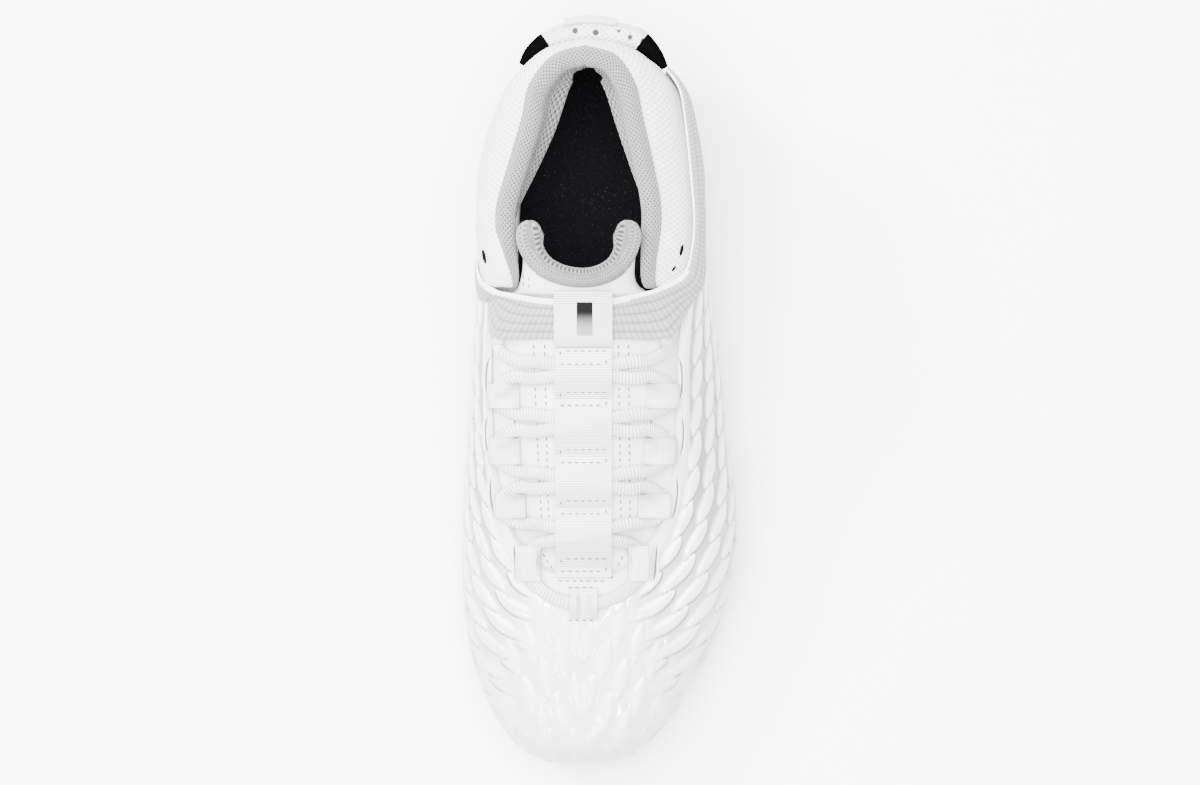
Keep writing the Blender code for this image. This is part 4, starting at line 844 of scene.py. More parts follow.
class Look:
    """A procedural material and its nodes."""

    def __init__(self, name, colour, roughness, coat=0.0, coat_roughness=0.1, sheen=0.0, shine=0.5):
        self.made = bpy.data.materials.new(name)
        self.made.use_nodes = True
        self.tree = self.made.node_tree
        self.shader = self.tree.nodes["Principled BSDF"]
        self.shader.inputs["Base Color"].default_value = (*colour, 1.0)
        self.shader.inputs["Roughness"].default_value = roughness
        self.shader.inputs["Specular IOR Level"].default_value = shine
        self.shader.inputs["Coat Weight"].default_value = coat
        self.shader.inputs["Coat Roughness"].default_value = coat_roughness
        self.shader.inputs["Sheen Weight"].default_value = sheen
        self.heights = []

    def node(self, kind, **values):
        made = self.tree.nodes.new(kind)
        for key, value in values.items():
            setattr(made, key, value)
        return made

    def feed(self, socket, value):
        if isinstance(value, (int, float)):
            socket.default_value = value
        else:
            self.tree.links.new(value, socket)

    def math(self, operation, *values):
        made = self.node("ShaderNodeMath", operation=operation)
        for socket, value in zip(made.inputs, values):
            self.feed(socket, value)
        return made.outputs[0]

    def place(self):
        """Place on the shoe."""
        return self.node("ShaderNodeTexCoord").outputs["Object"]

    def uv(self):
        """Distances in metres along the piece and across it."""
        parts = self.node("ShaderNodeSeparateXYZ")
        self.tree.links.new(self.node("ShaderNodeUVMap", uv_map="UVMap").outputs[0], parts.inputs[0])
        return parts.outputs[0], parts.outputs[1]

    def mark(self):
        """The mesh's own value from 0 to 1 for the painted shade that darkens a place."""
        return self.node("ShaderNodeAttribute", attribute_name="mark").outputs["Fac"]

    def wave(self, distance, period, phase=0.0):
        turns = self.math("MULTIPLY_ADD", distance, 2 * math.pi / period, phase)
        return self.math("SINE", turns)

    def noise(self, scale, detail=2.0, roughness=0.5):
        made = self.node("ShaderNodeTexNoise")
        made.inputs["Scale"].default_value = scale
        made.inputs["Detail"].default_value = detail
        made.inputs["Roughness"].default_value = roughness
        self.tree.links.new(self.place(), made.inputs["Vector"])
        return made.outputs[0]

    def spread(self, value, low, high):
        """Steps from 0 to 1 as a value goes from low to high."""
        made = self.node("ShaderNodeMapRange", interpolation_type="SMOOTHSTEP")
        self.feed(made.inputs["Value"], value)
        made.inputs["From Min"].default_value = low
        made.inputs["From Max"].default_value = high
        return made.outputs[0]

    def paint(self, factor, low, high):
        made = self.node("ShaderNodeMix", data_type="RGBA")
        self.feed(made.inputs[0], factor)
        for socket, value in ((made.inputs[6], low), (made.inputs[7], high)):
            if isinstance(value, tuple):
                socket.default_value = (*value, 1.0)
            else:
                self.tree.links.new(value, socket)
        self.tree.links.new(made.outputs[2], self.shader.inputs["Base Color"])
        return made.outputs[2]

    def bump(self, height, distance, strength=1.0):
        made = self.node("ShaderNodeBump")
        made.inputs["Strength"].default_value = strength
        made.inputs["Distance"].default_value = distance
        self.feed(made.inputs["Height"], height)
        if self.heights:
            self.tree.links.new(self.heights[-1], made.inputs["Normal"])
        self.heights.append(made.outputs[0])
        self.tree.links.new(made.outputs[0], self.shader.inputs["Normal"])


def knitted(name, light, dark, along, across, depth, hole=-0.25, sheen=0.2):
    """Knit or mesh: staggered stitches with darker gaps between them."""
    look = Look(name, light, 0.85, sheen=sheen)
    u, v = look.uv()
    cells = look.math("MULTIPLY", look.wave(u, along), look.wave(v, across))
    uneven = look.math("MULTIPLY_ADD", look.noise(900.0), 0.5, -0.25)
    look.paint(look.spread(look.math("ADD", cells, uneven), hole - 0.35, hole + 0.25), dark, light)
    look.bump(cells, depth)
    return look.made


def ribbed(name, light, dark, period, depth, weave=0.0011, roughness=0.75):
    """Webbing: fine ribs across its length, each rib woven."""
    look = Look(name, light, roughness, sheen=0.1)
    u, v = look.uv()
    ribs = look.wave(u, period)
    threads = look.wave(v, weave)
    height = look.math("MULTIPLY_ADD", threads, 0.18, ribs)
    look.paint(look.spread(ribs, -1.0, 0.0), dark, light)
    look.bump(height, depth)
    return look.made


def shell_look():
    look = Look("shell_gloss", WHITE, 0.30, coat=0.6, coat_roughness=0.07)
    # painted shade between the scales and low down the sides, then painted shadow lines along the scales'
    # edges
    shade = look.paint(look.spread(look.mark(), 0.0, 0.5), WHITE, PAINTED_VALLEY_SHADE)
    look.paint(look.spread(look.mark(), 0.5, 1.0), shade, PAINTED_SHADOW_LINE)
    look.bump(look.noise(260.0, 3.0), 0.00016, 0.5)
    look.bump(look.noise(2400.0, 2.0), 0.00004, 0.5)
    return look.made


def plate_look():
    look = Look("plate", (0.30, 0.30, 0.31), 0.34, coat=0.3, coat_roughness=0.2)
    look.bump(look.noise(1500.0), 0.00006, 0.5)
    return look.made


def strap_look():
    """Elastic whose ribs are broken into short stitches, with shade painted in the grooves between the
    ribs.
    """
    look = Look("elastic", (0.40, 0.40, 0.41), 0.62, sheen=0.1)
    stitches = look.wave(look.uv()[0], 0.0017)
    shade = look.paint(look.spread(stitches, -1.0, 0.2), (0.20, 0.20, 0.206), (0.28, 0.28, 0.288))
    look.paint(look.mark(), shade, (0.11, 0.11, 0.114))
    look.bump(stitches, 0.00012)
    return look.made


def lace_look():
    look = Look("lace", (0.80, 0.80, 0.81), 0.70, sheen=0.2)
    u, v = look.uv()
    slanted = look.math("MULTIPLY_ADD", v, 0.12, u)
    ribs = look.wave(slanted, 0.0013)
    look.paint(look.spread(ribs, -1.0, 0.1), (0.40, 0.40, 0.41), WHITE)
    look.bump(ribs, 0.00018)
    return look.made


def insole_look():
    look = Look("insole_black", (0.004, 0.004, 0.0045), 0.95, shine=0.03)
    grain = look.noise(1400.0, 3.0, 0.6)
    look.paint(look.spread(grain, 0.60, 0.74), (0.0025, 0.0025, 0.003), (0.020, 0.020, 0.022))
    look.bump(grain, 0.00012)
    return look.made


def pull_look():
    """White knit with a few grey specks."""
    look = Look("pull_knit", (0.80, 0.80, 0.81), 0.80, sheen=0.2)
    u, v = look.uv()
    cells = look.math("MULTIPLY", look.wave(u, 0.0024), look.wave(v, 0.0024))
    spots = look.node("ShaderNodeTexVoronoi", feature="F1")
    spots.inputs["Scale"].default_value = 230.0
    look.tree.links.new(look.place(), spots.inputs["Vector"])
    chance = look.node("ShaderNodeSeparateColor")
    look.tree.links.new(spots.outputs["Color"], chance.inputs[0])
    near = look.spread(spots.outputs["Distance"], 0.34, 0.24)
    speck = look.math("MULTIPLY", near, look.spread(chance.outputs[0], 0.42, 0.44))
    shade = look.paint(look.spread(cells, -0.8, 0.0), (0.40, 0.40, 0.41), (0.58, 0.58, 0.59))
    look.paint(speck, shade, (0.012, 0.012, 0.014))
    look.bump(cells, 0.00022)
    return look.made


def plain_look(name, colour, roughness, grain=900.0, depth=0.0001, coat=0.0, shine=0.5):
    look = Look(name, colour, roughness, coat=coat, shine=shine)
    look.bump(look.noise(grain), depth)
    return look.made


# Meshes

def even(values):
    """Running distance along a row of points."""
    total = [0.0]
    for a, b in zip(values, values[1:]):
        total.append(total[-1] + (b - a).length)
    return total


def stand(name, data):
    """New object in the scene with this mesh, camera or lamp."""
    made = bpy.data.objects.new(name, data)
    bpy.context.scene.collection.objects.link(made)
    return made


def new_object(name, points, faces, uvs, picks, looks, smooth_angle, painted_shades=None):
    mesh = bpy.data.meshes.new(name)
    mesh.from_pydata([tuple(p) for p in points], [], faces)
    if painted_shades:
        mesh.attributes.new("mark", "FLOAT", "POINT").data.foreach_set("value", painted_shades)
    layer = mesh.uv_layers.new(name="UVMap")
    for polygon, corners, pick in zip(mesh.polygons, uvs, picks):
        polygon.material_index = pick
        polygon.use_smooth = True
        for loop, pair in zip(polygon.loop_indices, corners):
            layer.data[loop].uv = pair
    for look in looks:
        mesh.materials.append(look)
    work = bmesh.new()
    work.from_mesh(mesh)
    bmesh.ops.remove_doubles(work, verts=work.verts, dist=WELD)
    bmesh.ops.recalc_face_normals(work, faces=work.faces)
    if work.calc_volume(signed=True) < 0:
        bmesh.ops.reverse_faces(work, faces=work.faces)
    work.to_mesh(mesh)
    work.free()
    mesh.set_sharp_from_angle(angle=math.radians(smooth_angle))
    return stand(name, mesh)


def surface(name, grid, looks, ring=False, tube=False, caps=False, pick=None, smooth_angle=50,
            painted_shades=None):
    """Piece over a grid of points. ring closes its rows, tube its columns, caps fills its two ends."""
    rows = len(grid)
    columns = len(grid[0])
    middle = [row[columns // 2] for row in grid] + ([grid[0][columns // 2]] if ring else [])
    along = even(middle)
    middle_row = grid[rows // 2]
    across = even(middle_row + ([middle_row[0]] if tube else []))
    faces = []
    uvs = []
    picks = []
    for i in range(rows if ring else rows - 1):
        for j in range(columns if tube else columns - 1):
            k = (i + 1) % rows
            m = (j + 1) % columns
            faces.append((i * columns + j, k * columns + j, k * columns + m, i * columns + m))
            uvs.append(((along[i], across[j]), (along[i + 1], across[j]),
                        (along[i + 1], across[j + 1]), (along[i], across[j + 1])))
            picks.append(pick(i, j) if pick else 0)
    if caps:
        for base in (0, (rows - 1) * columns):
            faces.append(tuple(base + j for j in range(columns)))
            uvs.append([(0.0, across[j]) for j in range(columns)])
            picks.append(pick(0 if base == 0 else rows - 1, 0) if pick else 0)
    points = [p for row in grid for p in row]
    return new_object(name, points, faces, uvs, picks, looks, smooth_angle, painted_shades)


def sheet_piece(name, outer, inner, looks, pick=None, smooth_angle=50, painted_shades=None):
    """Closed sheet between two grids, its long edges joined by the grid and its ends capped by strips."""
    grid = [a + list(reversed(b)) for a, b in zip(outer, inner)]
    made = surface(name, grid, looks, tube=True, pick=pick, smooth_angle=smooth_angle, painted_shades=painted_shades)
    work = bmesh.new()
    work.from_mesh(made.data)
    bmesh.ops.holes_fill(work, edges=[e for e in work.edges if e.is_boundary], sides=0)
    bmesh.ops.recalc_face_normals(work, faces=work.faces)
    work.to_mesh(made.data)
    work.free()
    return made


def refined(grid, per_row, per_column):
    """Finer grid on a smooth surface through a coarse one."""
    wide = [smooth(row, per_column) for row in grid]
    columns = [smooth([row[j] for row in wide], per_row) for j in range(len(wide[0]))]
    return [[column[i] for column in columns] for i in range(len(columns[0]))]


def deselect():
    for thing in bpy.context.selected_objects:
        thing.select_set(False)


def settle(thing):
    """Put a piece's place into its mesh."""
    deselect()
    bpy.context.view_layer.objects.active = thing
    thing.select_set(True)
    bpy.ops.object.transform_apply(location=True, rotation=True, scale=True)
    thing.select_set(False)


def wear(piece):
    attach(piece, "root")
    return piece


# Pieces

def even_turns(side, count):
    """Turns from toe to heel that lie evenly along the shell's widest line."""
    fine = 600
    turns = [math.pi * i / fine for i in range(fine + 1)]
    run = even([widest(side, turn) for turn in turns])
    result = []
    for k in range(count + 1):
        at = run[-1] * k / count
        i = min(max(bisect_right(run, at) - 1, 0), fine - 1)
        part = (at - run[i]) / (run[i + 1] - run[i])
        result.append(turns[i] + (turns[i + 1] - turns[i]) * part)
    return result


def ring_stations(count):
    outer = [(1, turn) for turn in even_turns(1, count)]
    inner = [(-1, turn) for turn in even_turns(-1, count)]
    return outer + list(reversed(inner[1:-1]))


def scale_at(y, up, edge_soft=SCALE_EDGE):
    """Height, 0 to 1, of the leaf-shaped scales at a place y along and up from the top edge, and the
    painted shadow line along their outer edges.
    """
    height = 0.0
    shadow_line = 0.0
    column = math.floor(up / SCALE_WIDE)
    for c in (column - 1, column, column + 1, column + 2):
        shift = 0.5 * SCALE_PITCH * (c % 2)
        row = math.floor((y - shift) / SCALE_PITCH)
        for r in (row, row + 1):
            along = y - shift - r * SCALE_PITCH
            across = up - c * SCALE_WIDE - SCALE_SLANT * along
            t = 2 * along / SCALE_LONG
            if abs(t) >= 1:
                continue
            half = 0.5 * SCALE_FULL * SCALE_WIDE * (1 - t * t) ** 0.85
            inside = 1 - abs(across) / max(half, 0.0001)
            if across > 0:
                height = max(height, ramp(inside, -0.02, edge_soft))
                edge = (across - half) / SHADOW_LINE_WIDE
                shadow_line = max(shadow_line, math.exp(-edge * edge) * (1 - t ** 6))
            elif inside > 0:
                height = max(height, ramp(inside, 0.0, 0.9))
    return height, shadow_line


def toe_relief(place, way, share):
    """Soft scales over the toe, which lean out with its outline, and the shade painted between them."""
    shown = (1.0 - ramp(share, *TOE_BACK)) * ramp(way, *TOE_LOW) * (1.0 - ramp(way, *TOE_TOP))
    if shown == 0.0:
        return 0.0, 0.0
    aside = abs(place.x - MIDDLE_X)
    height, _ = scale_at(place.y, TOE_LEAN * (place.y - share_y(0.0)) - aside, TOE_EDGE)
    return TOE_DEEP * SCALE_DEEP * height * shown, TOE_SHADE * (1 - height) * shown


def scale_relief(y, up, way, share):
    """Height of the scales over the shell, and the shade painted between them, along their edges and low
    down the sides.
    """
    shown = ramp(share, *SCALES_FRONT) * (1.0 - ramp(share, *SCALES_BACK)) * ramp(way, *SCALES_LOW)
    shown *= 1.0 - ramp(way, SCALES_TOP, RIM_START)
    # painted shade low down the sides
    low = LOW_SHADE * ramp(way, 0.60, 0.15)
    if shown == 0.0:
        return 0.0, low
    height, shadow_line = scale_at(y, up)
    shade_between = 0.5 * (1 - height) * (0.45 + 0.55 * ramp(share, 0.10, 0.45))
    return SCALE_DEEP * height * shown, max(low, max(shade_between, shadow_line * (1 - 0.8 * height)) * shown)


def make_shell():
    """Moulded shell: the last's skin with its scales outside, and a plain wall inside."""
    stations = ring_stations(SHELL_STATIONS)
    ways = [j / (SHELL_WAYS - 1) for j in range(SHELL_WAYS)]
    skin = [[shell_skin(side, turn, way) for way in ways] for side, turn in stations]
    count = len(skin)
    outer = []
    inside = []
    painted_shades = []
    for i, (side, turn) in enumerate(stations):
        before = skin[i - 1]
        after = skin[(i + 1) % count]
        run = even(skin[i])
        share = 0.5 * (1 - math.cos(turn))
        line = []
        normals = []
        for j, way in enumerate(ways):
            up = skin[i][min(j + 1, SHELL_WAYS - 1)] - skin[i][max(j - 1, 0)]
            normal = (after[j] - before[j]).cross(up).normalized()
            normals.append(normal)
            place = skin[i][j]
            # relief of the scales, and the shade painted between them
            relief, mark = scale_relief(place.y, run[-1] - run[j], way, share)
            soft, soft_painted_shade = toe_relief(place, way, share)
            line.append(place + normal * (raised(turn, way) + max(relief, soft)))
            painted_shades.append(max(mark, soft_painted_shade))
        outer.append(line)
        painted_shades += [0.0] * len(INSIDE_WAYS)
        back = []
        for way in INSIDE_WAYS:
            j = round(way * (SHELL_WAYS - 1))
            back.append(skin[i][j] - normals[j] * WALL)
        back[0].z = outer[i][0].z
        inside.append(back)
    grid = [a + list(reversed(b)) for a, b in zip(outer, inside)]
    shell = surface("shell", grid, [shell_look()], ring=True, tube=True, smooth_angle=60, painted_shades=painted_shades)
    return wear(shell)


def narrow_lining(line, side, near):
    """Move the lining's edge down the inside of a section, fully where near is 1."""
    shift = LINING_SHIFT[side] * near
    whole = list(line)
    half = SEAM_AT - BULGE_AT
    for j in range(BULGE_AT + 1, BROW_AT):
        if j <= SEAM_AT:
            at = BULGE_AT + (j - BULGE_AT) * (half + shift) / half
        else:
            at = BROW_AT - (BROW_AT - j) * (half - shift) / half
        k = int(at)
        line[j] = whole[k] + (whole[k + 1] - whole[k]) * (at - k)


def round_nose(line, part):
    """Round off a front end of the collar. part goes from 0 at its very end to 1."""
    slim = NOSE_LEAST + (1 - NOSE_LEAST) * math.sqrt(1 - (1 - part) ** 2)
    top = line[LOW_AT:LINING_AT]
    middle = sum(top, Vector()) / len(top)
    for j in range(LOW_AT, LINING_AT):
        fade = math.sin(math.pi * (j - LOW_AT) / (LINING_AT - LOW_AT - 1)) ** 0.5
        line[j] = line[j] + (middle - line[j]) * ((1 - slim) * fade)


def gather(line, across):
    """Fold the lining at the middle of the heel."""
    for place, deep, wide in GATHERS:
        for j in range(BROW_AT, LINING_AT):
            shape = math.exp(-((line[j].x - GATHER_X - place) / wide) ** 2)
            fall = math.sin(math.pi * (j - BROW_AT) / (LINING_AT - BROW_AT))
            line[j] = line[j] - across * (deep * shape * fall)


def make_collar(looks):
    """Padded collar with its lining, open at the front."""
    start = turn_of(COLLAR_START) - COLLAR_NOSE
    outer = [turn for turn in even_turns(1, COLLAR_STATIONS) if turn > start]
    inner = [turn for turn in even_turns(-1, COLLAR_STATIONS) if turn > start]
    stations = [(-1, turn) for turn in inner] + [(1, turn) for turn in reversed(outer[:-1])]
    grid = []
    for side, turn in stations:
        line = smooth(collar_section(side, turn), COLLAR_STEPS, closed=True)
        narrow_lining(line, side, ramp(turn, start + LINING_RUN, start))
        if turn < start + 2 * COLLAR_NOSE:
            round_nose(line, (turn - start) / (2 * COLLAR_NOSE))
        for j, deep in LINING_SEAM:
            line[j] = line[j] - Vector((0, 0, deep))
        if turn > GATHER_TURN:
            gather(line, -outward(side, turn))
        grid.append(line)

    def pick(_, j):
        """Knit outside, fine mesh on the roll, open mesh down the inside."""
        if j > BROW_AT:
            return 2 if j < INSIDE_AT else 0
        return 1 if j >= SEAM_AT else 0

    made = surface("collar_knit", grid, looks, tube=True, caps=True, pick=pick, smooth_angle=75)
    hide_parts("collar")
    return wear(made)


def tongue_rows():
    """Coarse rows of the tongue from its foot to its rim, and how thick each is."""
    rows = toe_rows(TONGUE_SHARES[0] - TONGUE_FOOT) + [throat_section(share) for share in TONGUE_SHARES]
    thick = [1.0] * len(rows) + [row[-1] for row in TONGUE_TOP]
    return rows + [top_section(row) for row in TONGUE_TOP], thick


def tongue_sides(outer, walls):
    """Front and back of the tongue, with its rim padded and its wings rounded off."""
    columns = len(outer[0])
    normals = grid_normals(outer)
    wings = list(enumerate(WING))
    front = []
    back = []
    for line, normal, plain_wall in zip(outer, normals, walls):
        padding = ramp(plain_wall, TONGUE_WALL, walls[-1])
        front.append([])
        back.append([])
        for j in range(columns):
            aside = abs(j - columns // 2) / (columns // 2)
            wing = spline(wings, 1, min(aside, WING_ROUND) * (len(WING) - 1))
            wall = plain_wall * (1 + (wing - 1) * padding)
            end = max(0.0, (aside - WING_ROUND) / (1 - WING_ROUND))
            slim = padding * (1 - math.sqrt(1 - WING_END * end * end))
            front[-1].append(line[j] - normal[j] * (wall * WING_FRONT * slim))
            back[-1].append(line[j] - normal[j] * (wall * (1 - WING_FRONT * slim)))
    return front, back


def roll_rim(front, back, roll):
    """Rows that close the rim's top in a half round."""
    edge = list(zip(front[-1], back[-1]))
    for angle in RIM_ROLL:
        turn = math.radians(angle)
        lift = Vector((0, 0, RIM_TALL * roll * math.sin(turn)))
        front.append([0.5 * (a + b) + 0.5 * (a - b) * math.cos(turn) + lift for a, b in edge])
        back.append([0.5 * (a + b) - 0.5 * (a - b) * math.cos(turn) + lift for a, b in edge])


def make_tongue(looks):
    """Tongue with its padded rim."""
    coarse, thick = tongue_rows()
    outer = refined(coarse, TONGUE_STEPS, TONGUE_STEPS)
    columns = len(outer[0])
    walls = []
    for i in range(len(outer)):
        k = min(i // TONGUE_STEPS, len(thick) - 2)
        part = i / TONGUE_STEPS - k
        walls.append(TONGUE_WALL * (thick[k] + (thick[k + 1] - thick[k]) * part))
    front, back = tongue_sides(outer, walls)
    roll_rim(front, back, walls[-1])
    padded_from = (len(coarse) - TONGUE_PADDED) * TONGUE_STEPS - 2

    def pick(i, j):
        """The mesh covers the rim's roll and its inside, the outside stays white below it."""
        if j >= columns:
            return 2 if i > padded_from - BACK_MESH else 0
        aside = abs(j - columns // 2) / (columns // 2)
        return 1 if i >= padded_from + RIM_MESH + round(WING_MESH * max(0.0, aside - WING_FROM)) else 0

    made = sheet_piece("tongue_knit", front, back, looks, pick=pick, smooth_angle=75)
    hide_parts("tongue")
    return wear(made)


def ease(values, rounds, step):
    """Smooth a row of values but for its ends, by the step from three neighbours to a new value."""
    for _ in range(rounds):
        middle = [step(*three) for three in zip(values, values[1:], values[2:])]
        values = [values[0]] + middle + [values[-1]]
    return values


def flat_cord(name, route, lift, under, looks):
    """Flat cord along a route, resting on what lies under it."""
    middles = []
    ups = []
    for i, place in enumerate(route):
        along = (route[min(i + 1, len(route) - 1)] - route[max(i - 1, 0)]).normalized()
        across = Vector((-along.y, along.x, 0))
        left = place + across * (0.5 * LACE_WIDTH)
        right = place - across * (0.5 * LACE_WIDTH)
        z_left, z_right, z_middle = (under.near(spot.x, spot.y, LACE_LOOK, LACE_LOOK)
                                     for spot in (left, right, place))
        slope = (z_left - z_right) / LACE_WIDTH
        rest = max(z_middle, 0.5 * (z_left + z_right))
        clear = (0.5 * LACE_THICK + CLEARANCE) * math.sqrt(1 + slope * slope)
        middles.append(Vector((place.x, place.y, rest + clear + lift[i])))
        ups.append(across * -slope + Vector((0, 0, 1)))

    def level(a, b, c):
        return max(0.25 * (a + 2 * b + c), b - LACE_GIVE)

    heights = ease([place.z for place in middles], LACE_SMOOTHING, level)
    for place, z in zip(middles, heights):
        place.z = z
    ups = ease(ups, LACE_SMOOTHING, lambda a, b, c: (a + b * 2 + c).normalized())
    count = len(middles)
    grid = []
    for i in range(count):
        along = (middles[min(i + 1, count - 1)] - middles[max(i - 1, 0)]).normalized()
        up = (ups[i] - along * ups[i].dot(along)).normalized()
        across = along.cross(up)
        line = []
        for k in range(LACE_ROUND):
            turn = 2 * math.pi * k / LACE_ROUND
            rise = math.sin(turn)
            flat = math.copysign(abs(rise) ** LACE_SQUARE, rise)
            line.append(middles[i] + across * (0.5 * LACE_WIDTH * math.cos(turn))
                        + up * (0.5 * LACE_THICK * flat))
        grid.append(line)
    return surface(name, grid, looks, tube=True, caps=True, smooth_angle=75)


def make_laces(under, looks):
    """Both halves of the lace. The inner one rises over the other where they cross."""
    made = []
    rise_from = share_y(CROSSINGS[0]) - LACE_FLAT_END
    for side, word in ((-1, "inner"), (1, "outer")):
        route = smooth(lace_route(side), LACE_FINE)
        lift = []
        for place in route:
            near = max(0.0, 1 - abs(place.x - MIDDLE_X) / (0.5 * STRIP_WIDTH))
            lift.append(LACE_HUMP * near if side < 0 and place.y > rise_from else 0.0)
        made.append(wear(flat_cord(f"lace_{word}_half", route, lift, under, looks)))
    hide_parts("laces")
    return made


def draped(name, grid, thick, looks, pick=None):
    """Webbing whose underside is a grid of points."""
    top = [[place + Vector((0, 0, thick / max(abs(normal.z), STEEPEST)))
            for place, normal in zip(line, normals)] for line, normals in zip(grid, grid_normals(grid))]
    return sheet_piece(name, top, grid, looks, pick=pick, smooth_angle=50)


def loop_plan():
    """Webbing loops: name, middle along the shoe, length, outer end and direction inwards, width."""
    plan = []
    for side, word in ((-1, "inner"), (1, "outer")):
        column = 0 if side < 0 else 1
        for k in range(len(CROSSINGS) - 1):
            low = share_y(CROSSINGS[k])
            high = share_y(CROSSINGS[k + 1])
            start = BALL_WIDTH * TURNS[k][column] + side * LOOP_PAST
            length = LOOP_SPAN * (high - low)
            plan.append((f"{word}_{k + 1}", 0.5 * (low + high), length, start, -side, LOOP_WIDTH))
        start = BALL_WIDTH * (LOW_TURN_INNER if side < 0 else LOW_TURN_OUTER) + side * LOW_LOOP_PAST
        plan.append((f"{word}_4", share_y(LOW_LOOP_AT), LOW_LOOP_LENGTH, start, -side, LOW_LOOP_WIDTH))
    return plan


def make_lace_loops(under, looks):
    rows, columns = LOOP_GRID
    for name, middle, length, start, inwards, width in loop_plan():
        grid = []
        long = length * (LOOP_SPREAD if length < LOW_LOOP_LENGTH else 1.0)
        for i in range(rows):
            x = start + inwards * width * i / (rows - 1)
            ys = [middle + long * (j / (columns - 1) - 0.5) for j in range(columns)]
            grid.append([Vector((x, y, under.near(x, y, LOOP_LOOK, LOOP_LOOK))) for y in ys])
        for j in range(columns):
            part = [(abs(row[j].x - start), row[j].z) for row in grid]
            for row, z in zip(grid, taut(part, CLEARANCE)):
                row[j].z = z
        piece = draped(f"loop_{name}", grid, LOOP_THICK, looks)
        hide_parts(f"lace_loop_{name}")
        wear(piece)


def make_strip(under, looks):
    grid = strip_grid(under, share_y(STRIP_START), share_y(STRIP_END), STRIP_WIDTH, *STRIP_GRID,
                      [share_y(share) for share in STITCHED])
    made = draped("strip_webbing", grid, STRIP_THICK, looks)
    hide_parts("centre_strip")
    return wear(made)


def make_keeper(under, looks):
    grid = strip_grid(under, share_y(KEEPER_START), share_y(KEEPER_END), KEEPER_WIDER * STRIP_WIDTH,
                      *KEEPER_GRID, [])
    made = draped("keeper_webbing", grid, KEEPER_THICK, looks,
                  pick=lambda i, j: 1 if i < KEEPER_SATIN else 0)
    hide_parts("strap_keeper")
    return wear(made)


def make_toe_loop(under, looks):
    middle = share_y(TOE_LOOP_AT)
    half = 0.5 * TOE_LOOP_LENGTH
    grid = strip_grid(under, middle - half, middle + half, TOE_LOOP_WIDTH, *TOE_LOOP_GRID, [])
    made = draped("toe_loop_webbing", grid, LOOP_THICK, looks)
    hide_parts("toe_lace_loop")
    return wear(made)


def strap_reach(under, centre, angles, span):
    """Heights across the strap at each angle, and how far from the ankle's middle it lies there."""
    tall = []
    reach = []
    for angle in angles:
        low = PLATE_TOP + COLLAR_HEIGHT * spline(STRAP, 1, angle)
        high = PLATE_TOP + COLLAR_HEIGHT * spline(STRAP, 2, angle)
        heights = [low + (high - low) * j / (STRAP_LEVELS - 1) for j in range(STRAP_LEVELS)]
        line = []
        for z in heights:
            found = []
            for step in STRAP_LOOK:
                turn = math.radians(angle + span * step)
                direction = Vector((math.sin(turn), -math.cos(turn), 0))
                far = min(STRAP_FRONT / max(math.cos(turn), SQUARE_ON), STRAP_FAR)
                found.append(under.reach(Vector((centre.x, centre.y, z)), direction, far))
            line.append((z - low, max([r for r in found if r is not None], default=0.0)))
        least = min(r for _, r in line if r > 0)
        tall.append(heights)
        reach.append(taut([(z, max(r, least)) for z, r in line], 3 * CLEARANCE))
    return tall, reach


def drawn_tight(loose, angles, span):
    """The strap drawn straight between its high places, but close to the shoe at its inner end."""
    bend = 2 * math.cos(math.radians(span))
    reach = loose
    for _ in range(STRAP_PULLS):
        middle = [[max(r, bend * a * b / (a + b)) for a, r, b in zip(*three)]
                  for three in zip(reach, reach[1:], reach[2:])]
        reach = [reach[0]] + middle + [reach[-1]]
    result = []
    for angle, tight, close in zip(angles, reach, loose):
        snug = ramp(angle, angles[0] + STRAP_SNUG[0], angles[0] + STRAP_SNUG[1])
        result.append([r + (c - r) * snug for r, c in zip(tight, close)])
    return result


def make_strap(under, looks):
    """Ribbed elastic over the instep and back along both sides of the ankle."""
    centre = Vector((MIDDLE_X + STRAP_SHIFT, share_y(ANKLE_Y), 0))
    span = (STRAP[-1][0] - STRAP[0][0]) / (STRAP_LENGTHS - 1)
    angles = [STRAP[0][0] + span * i for i in range(STRAP_LENGTHS)]
    tall, loose = strap_reach(under, centre, angles, span)
    reach = drawn_tight(loose, angles, span)
    top_line = STRAP_LINES - 1
    inside = []
    outside = []
    painted_shades = []
    for i, angle in enumerate(angles):
        turn = math.radians(angle)
        direction = Vector((math.sin(turn), -math.cos(turn), 0))
        slim = STRAP_THIN + (1 - STRAP_THIN) * ramp(angle, angles[0], angles[0] + STRAP_SLIM)
        inside.append([])
        outside.append([])
        for k in range(STRAP_LINES):
            at = k / top_line * (STRAP_LEVELS - 1)
            j = min(int(at), STRAP_LEVELS - 2)
            z = tall[i][j] + (tall[i][j + 1] - tall[i][j]) * (at - j)
            r = reach[i][j] + (reach[i][j + 1] - reach[i][j]) * (at - j)
            rib = abs(math.sin(STRAP_RIBS * math.pi * k / top_line)) ** RIB_ROUND
            tuck = STRAP_TUCK * ramp(i, TUCK_STATIONS, 0) * k / top_line
            place = Vector((centre.x, centre.y, z)) + direction * (r - tuck)
            inside[-1].append(place)
            thick = STRAP_THICK * (RIB_LOW + (1 - RIB_LOW) * rib) * slim
            outside[-1].append(place + direction * thick)
            # painted shade: darker towards the grooves between the ribs, none on the hem
            painted_shades.append((1 - rib) ** 2 if k < STRAP_LINES - HEM else 0.0)
        painted_shades += [0.0] * STRAP_LINES

    def pick(i, j):
        """The hem shows wide over the instep and as a thin edge along the side."""
        lines = next(count for last, count in HEM_LINES if i < last)
        return 1 if STRAP_LINES - lines <= j < STRAP_LINES + HEM else 0

    made = sheet_piece("ankle_elastic", outside, inside, looks, smooth_angle=70, painted_shades=painted_shades, pick=pick)
    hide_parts("ankle_strap")
    return wear(made)


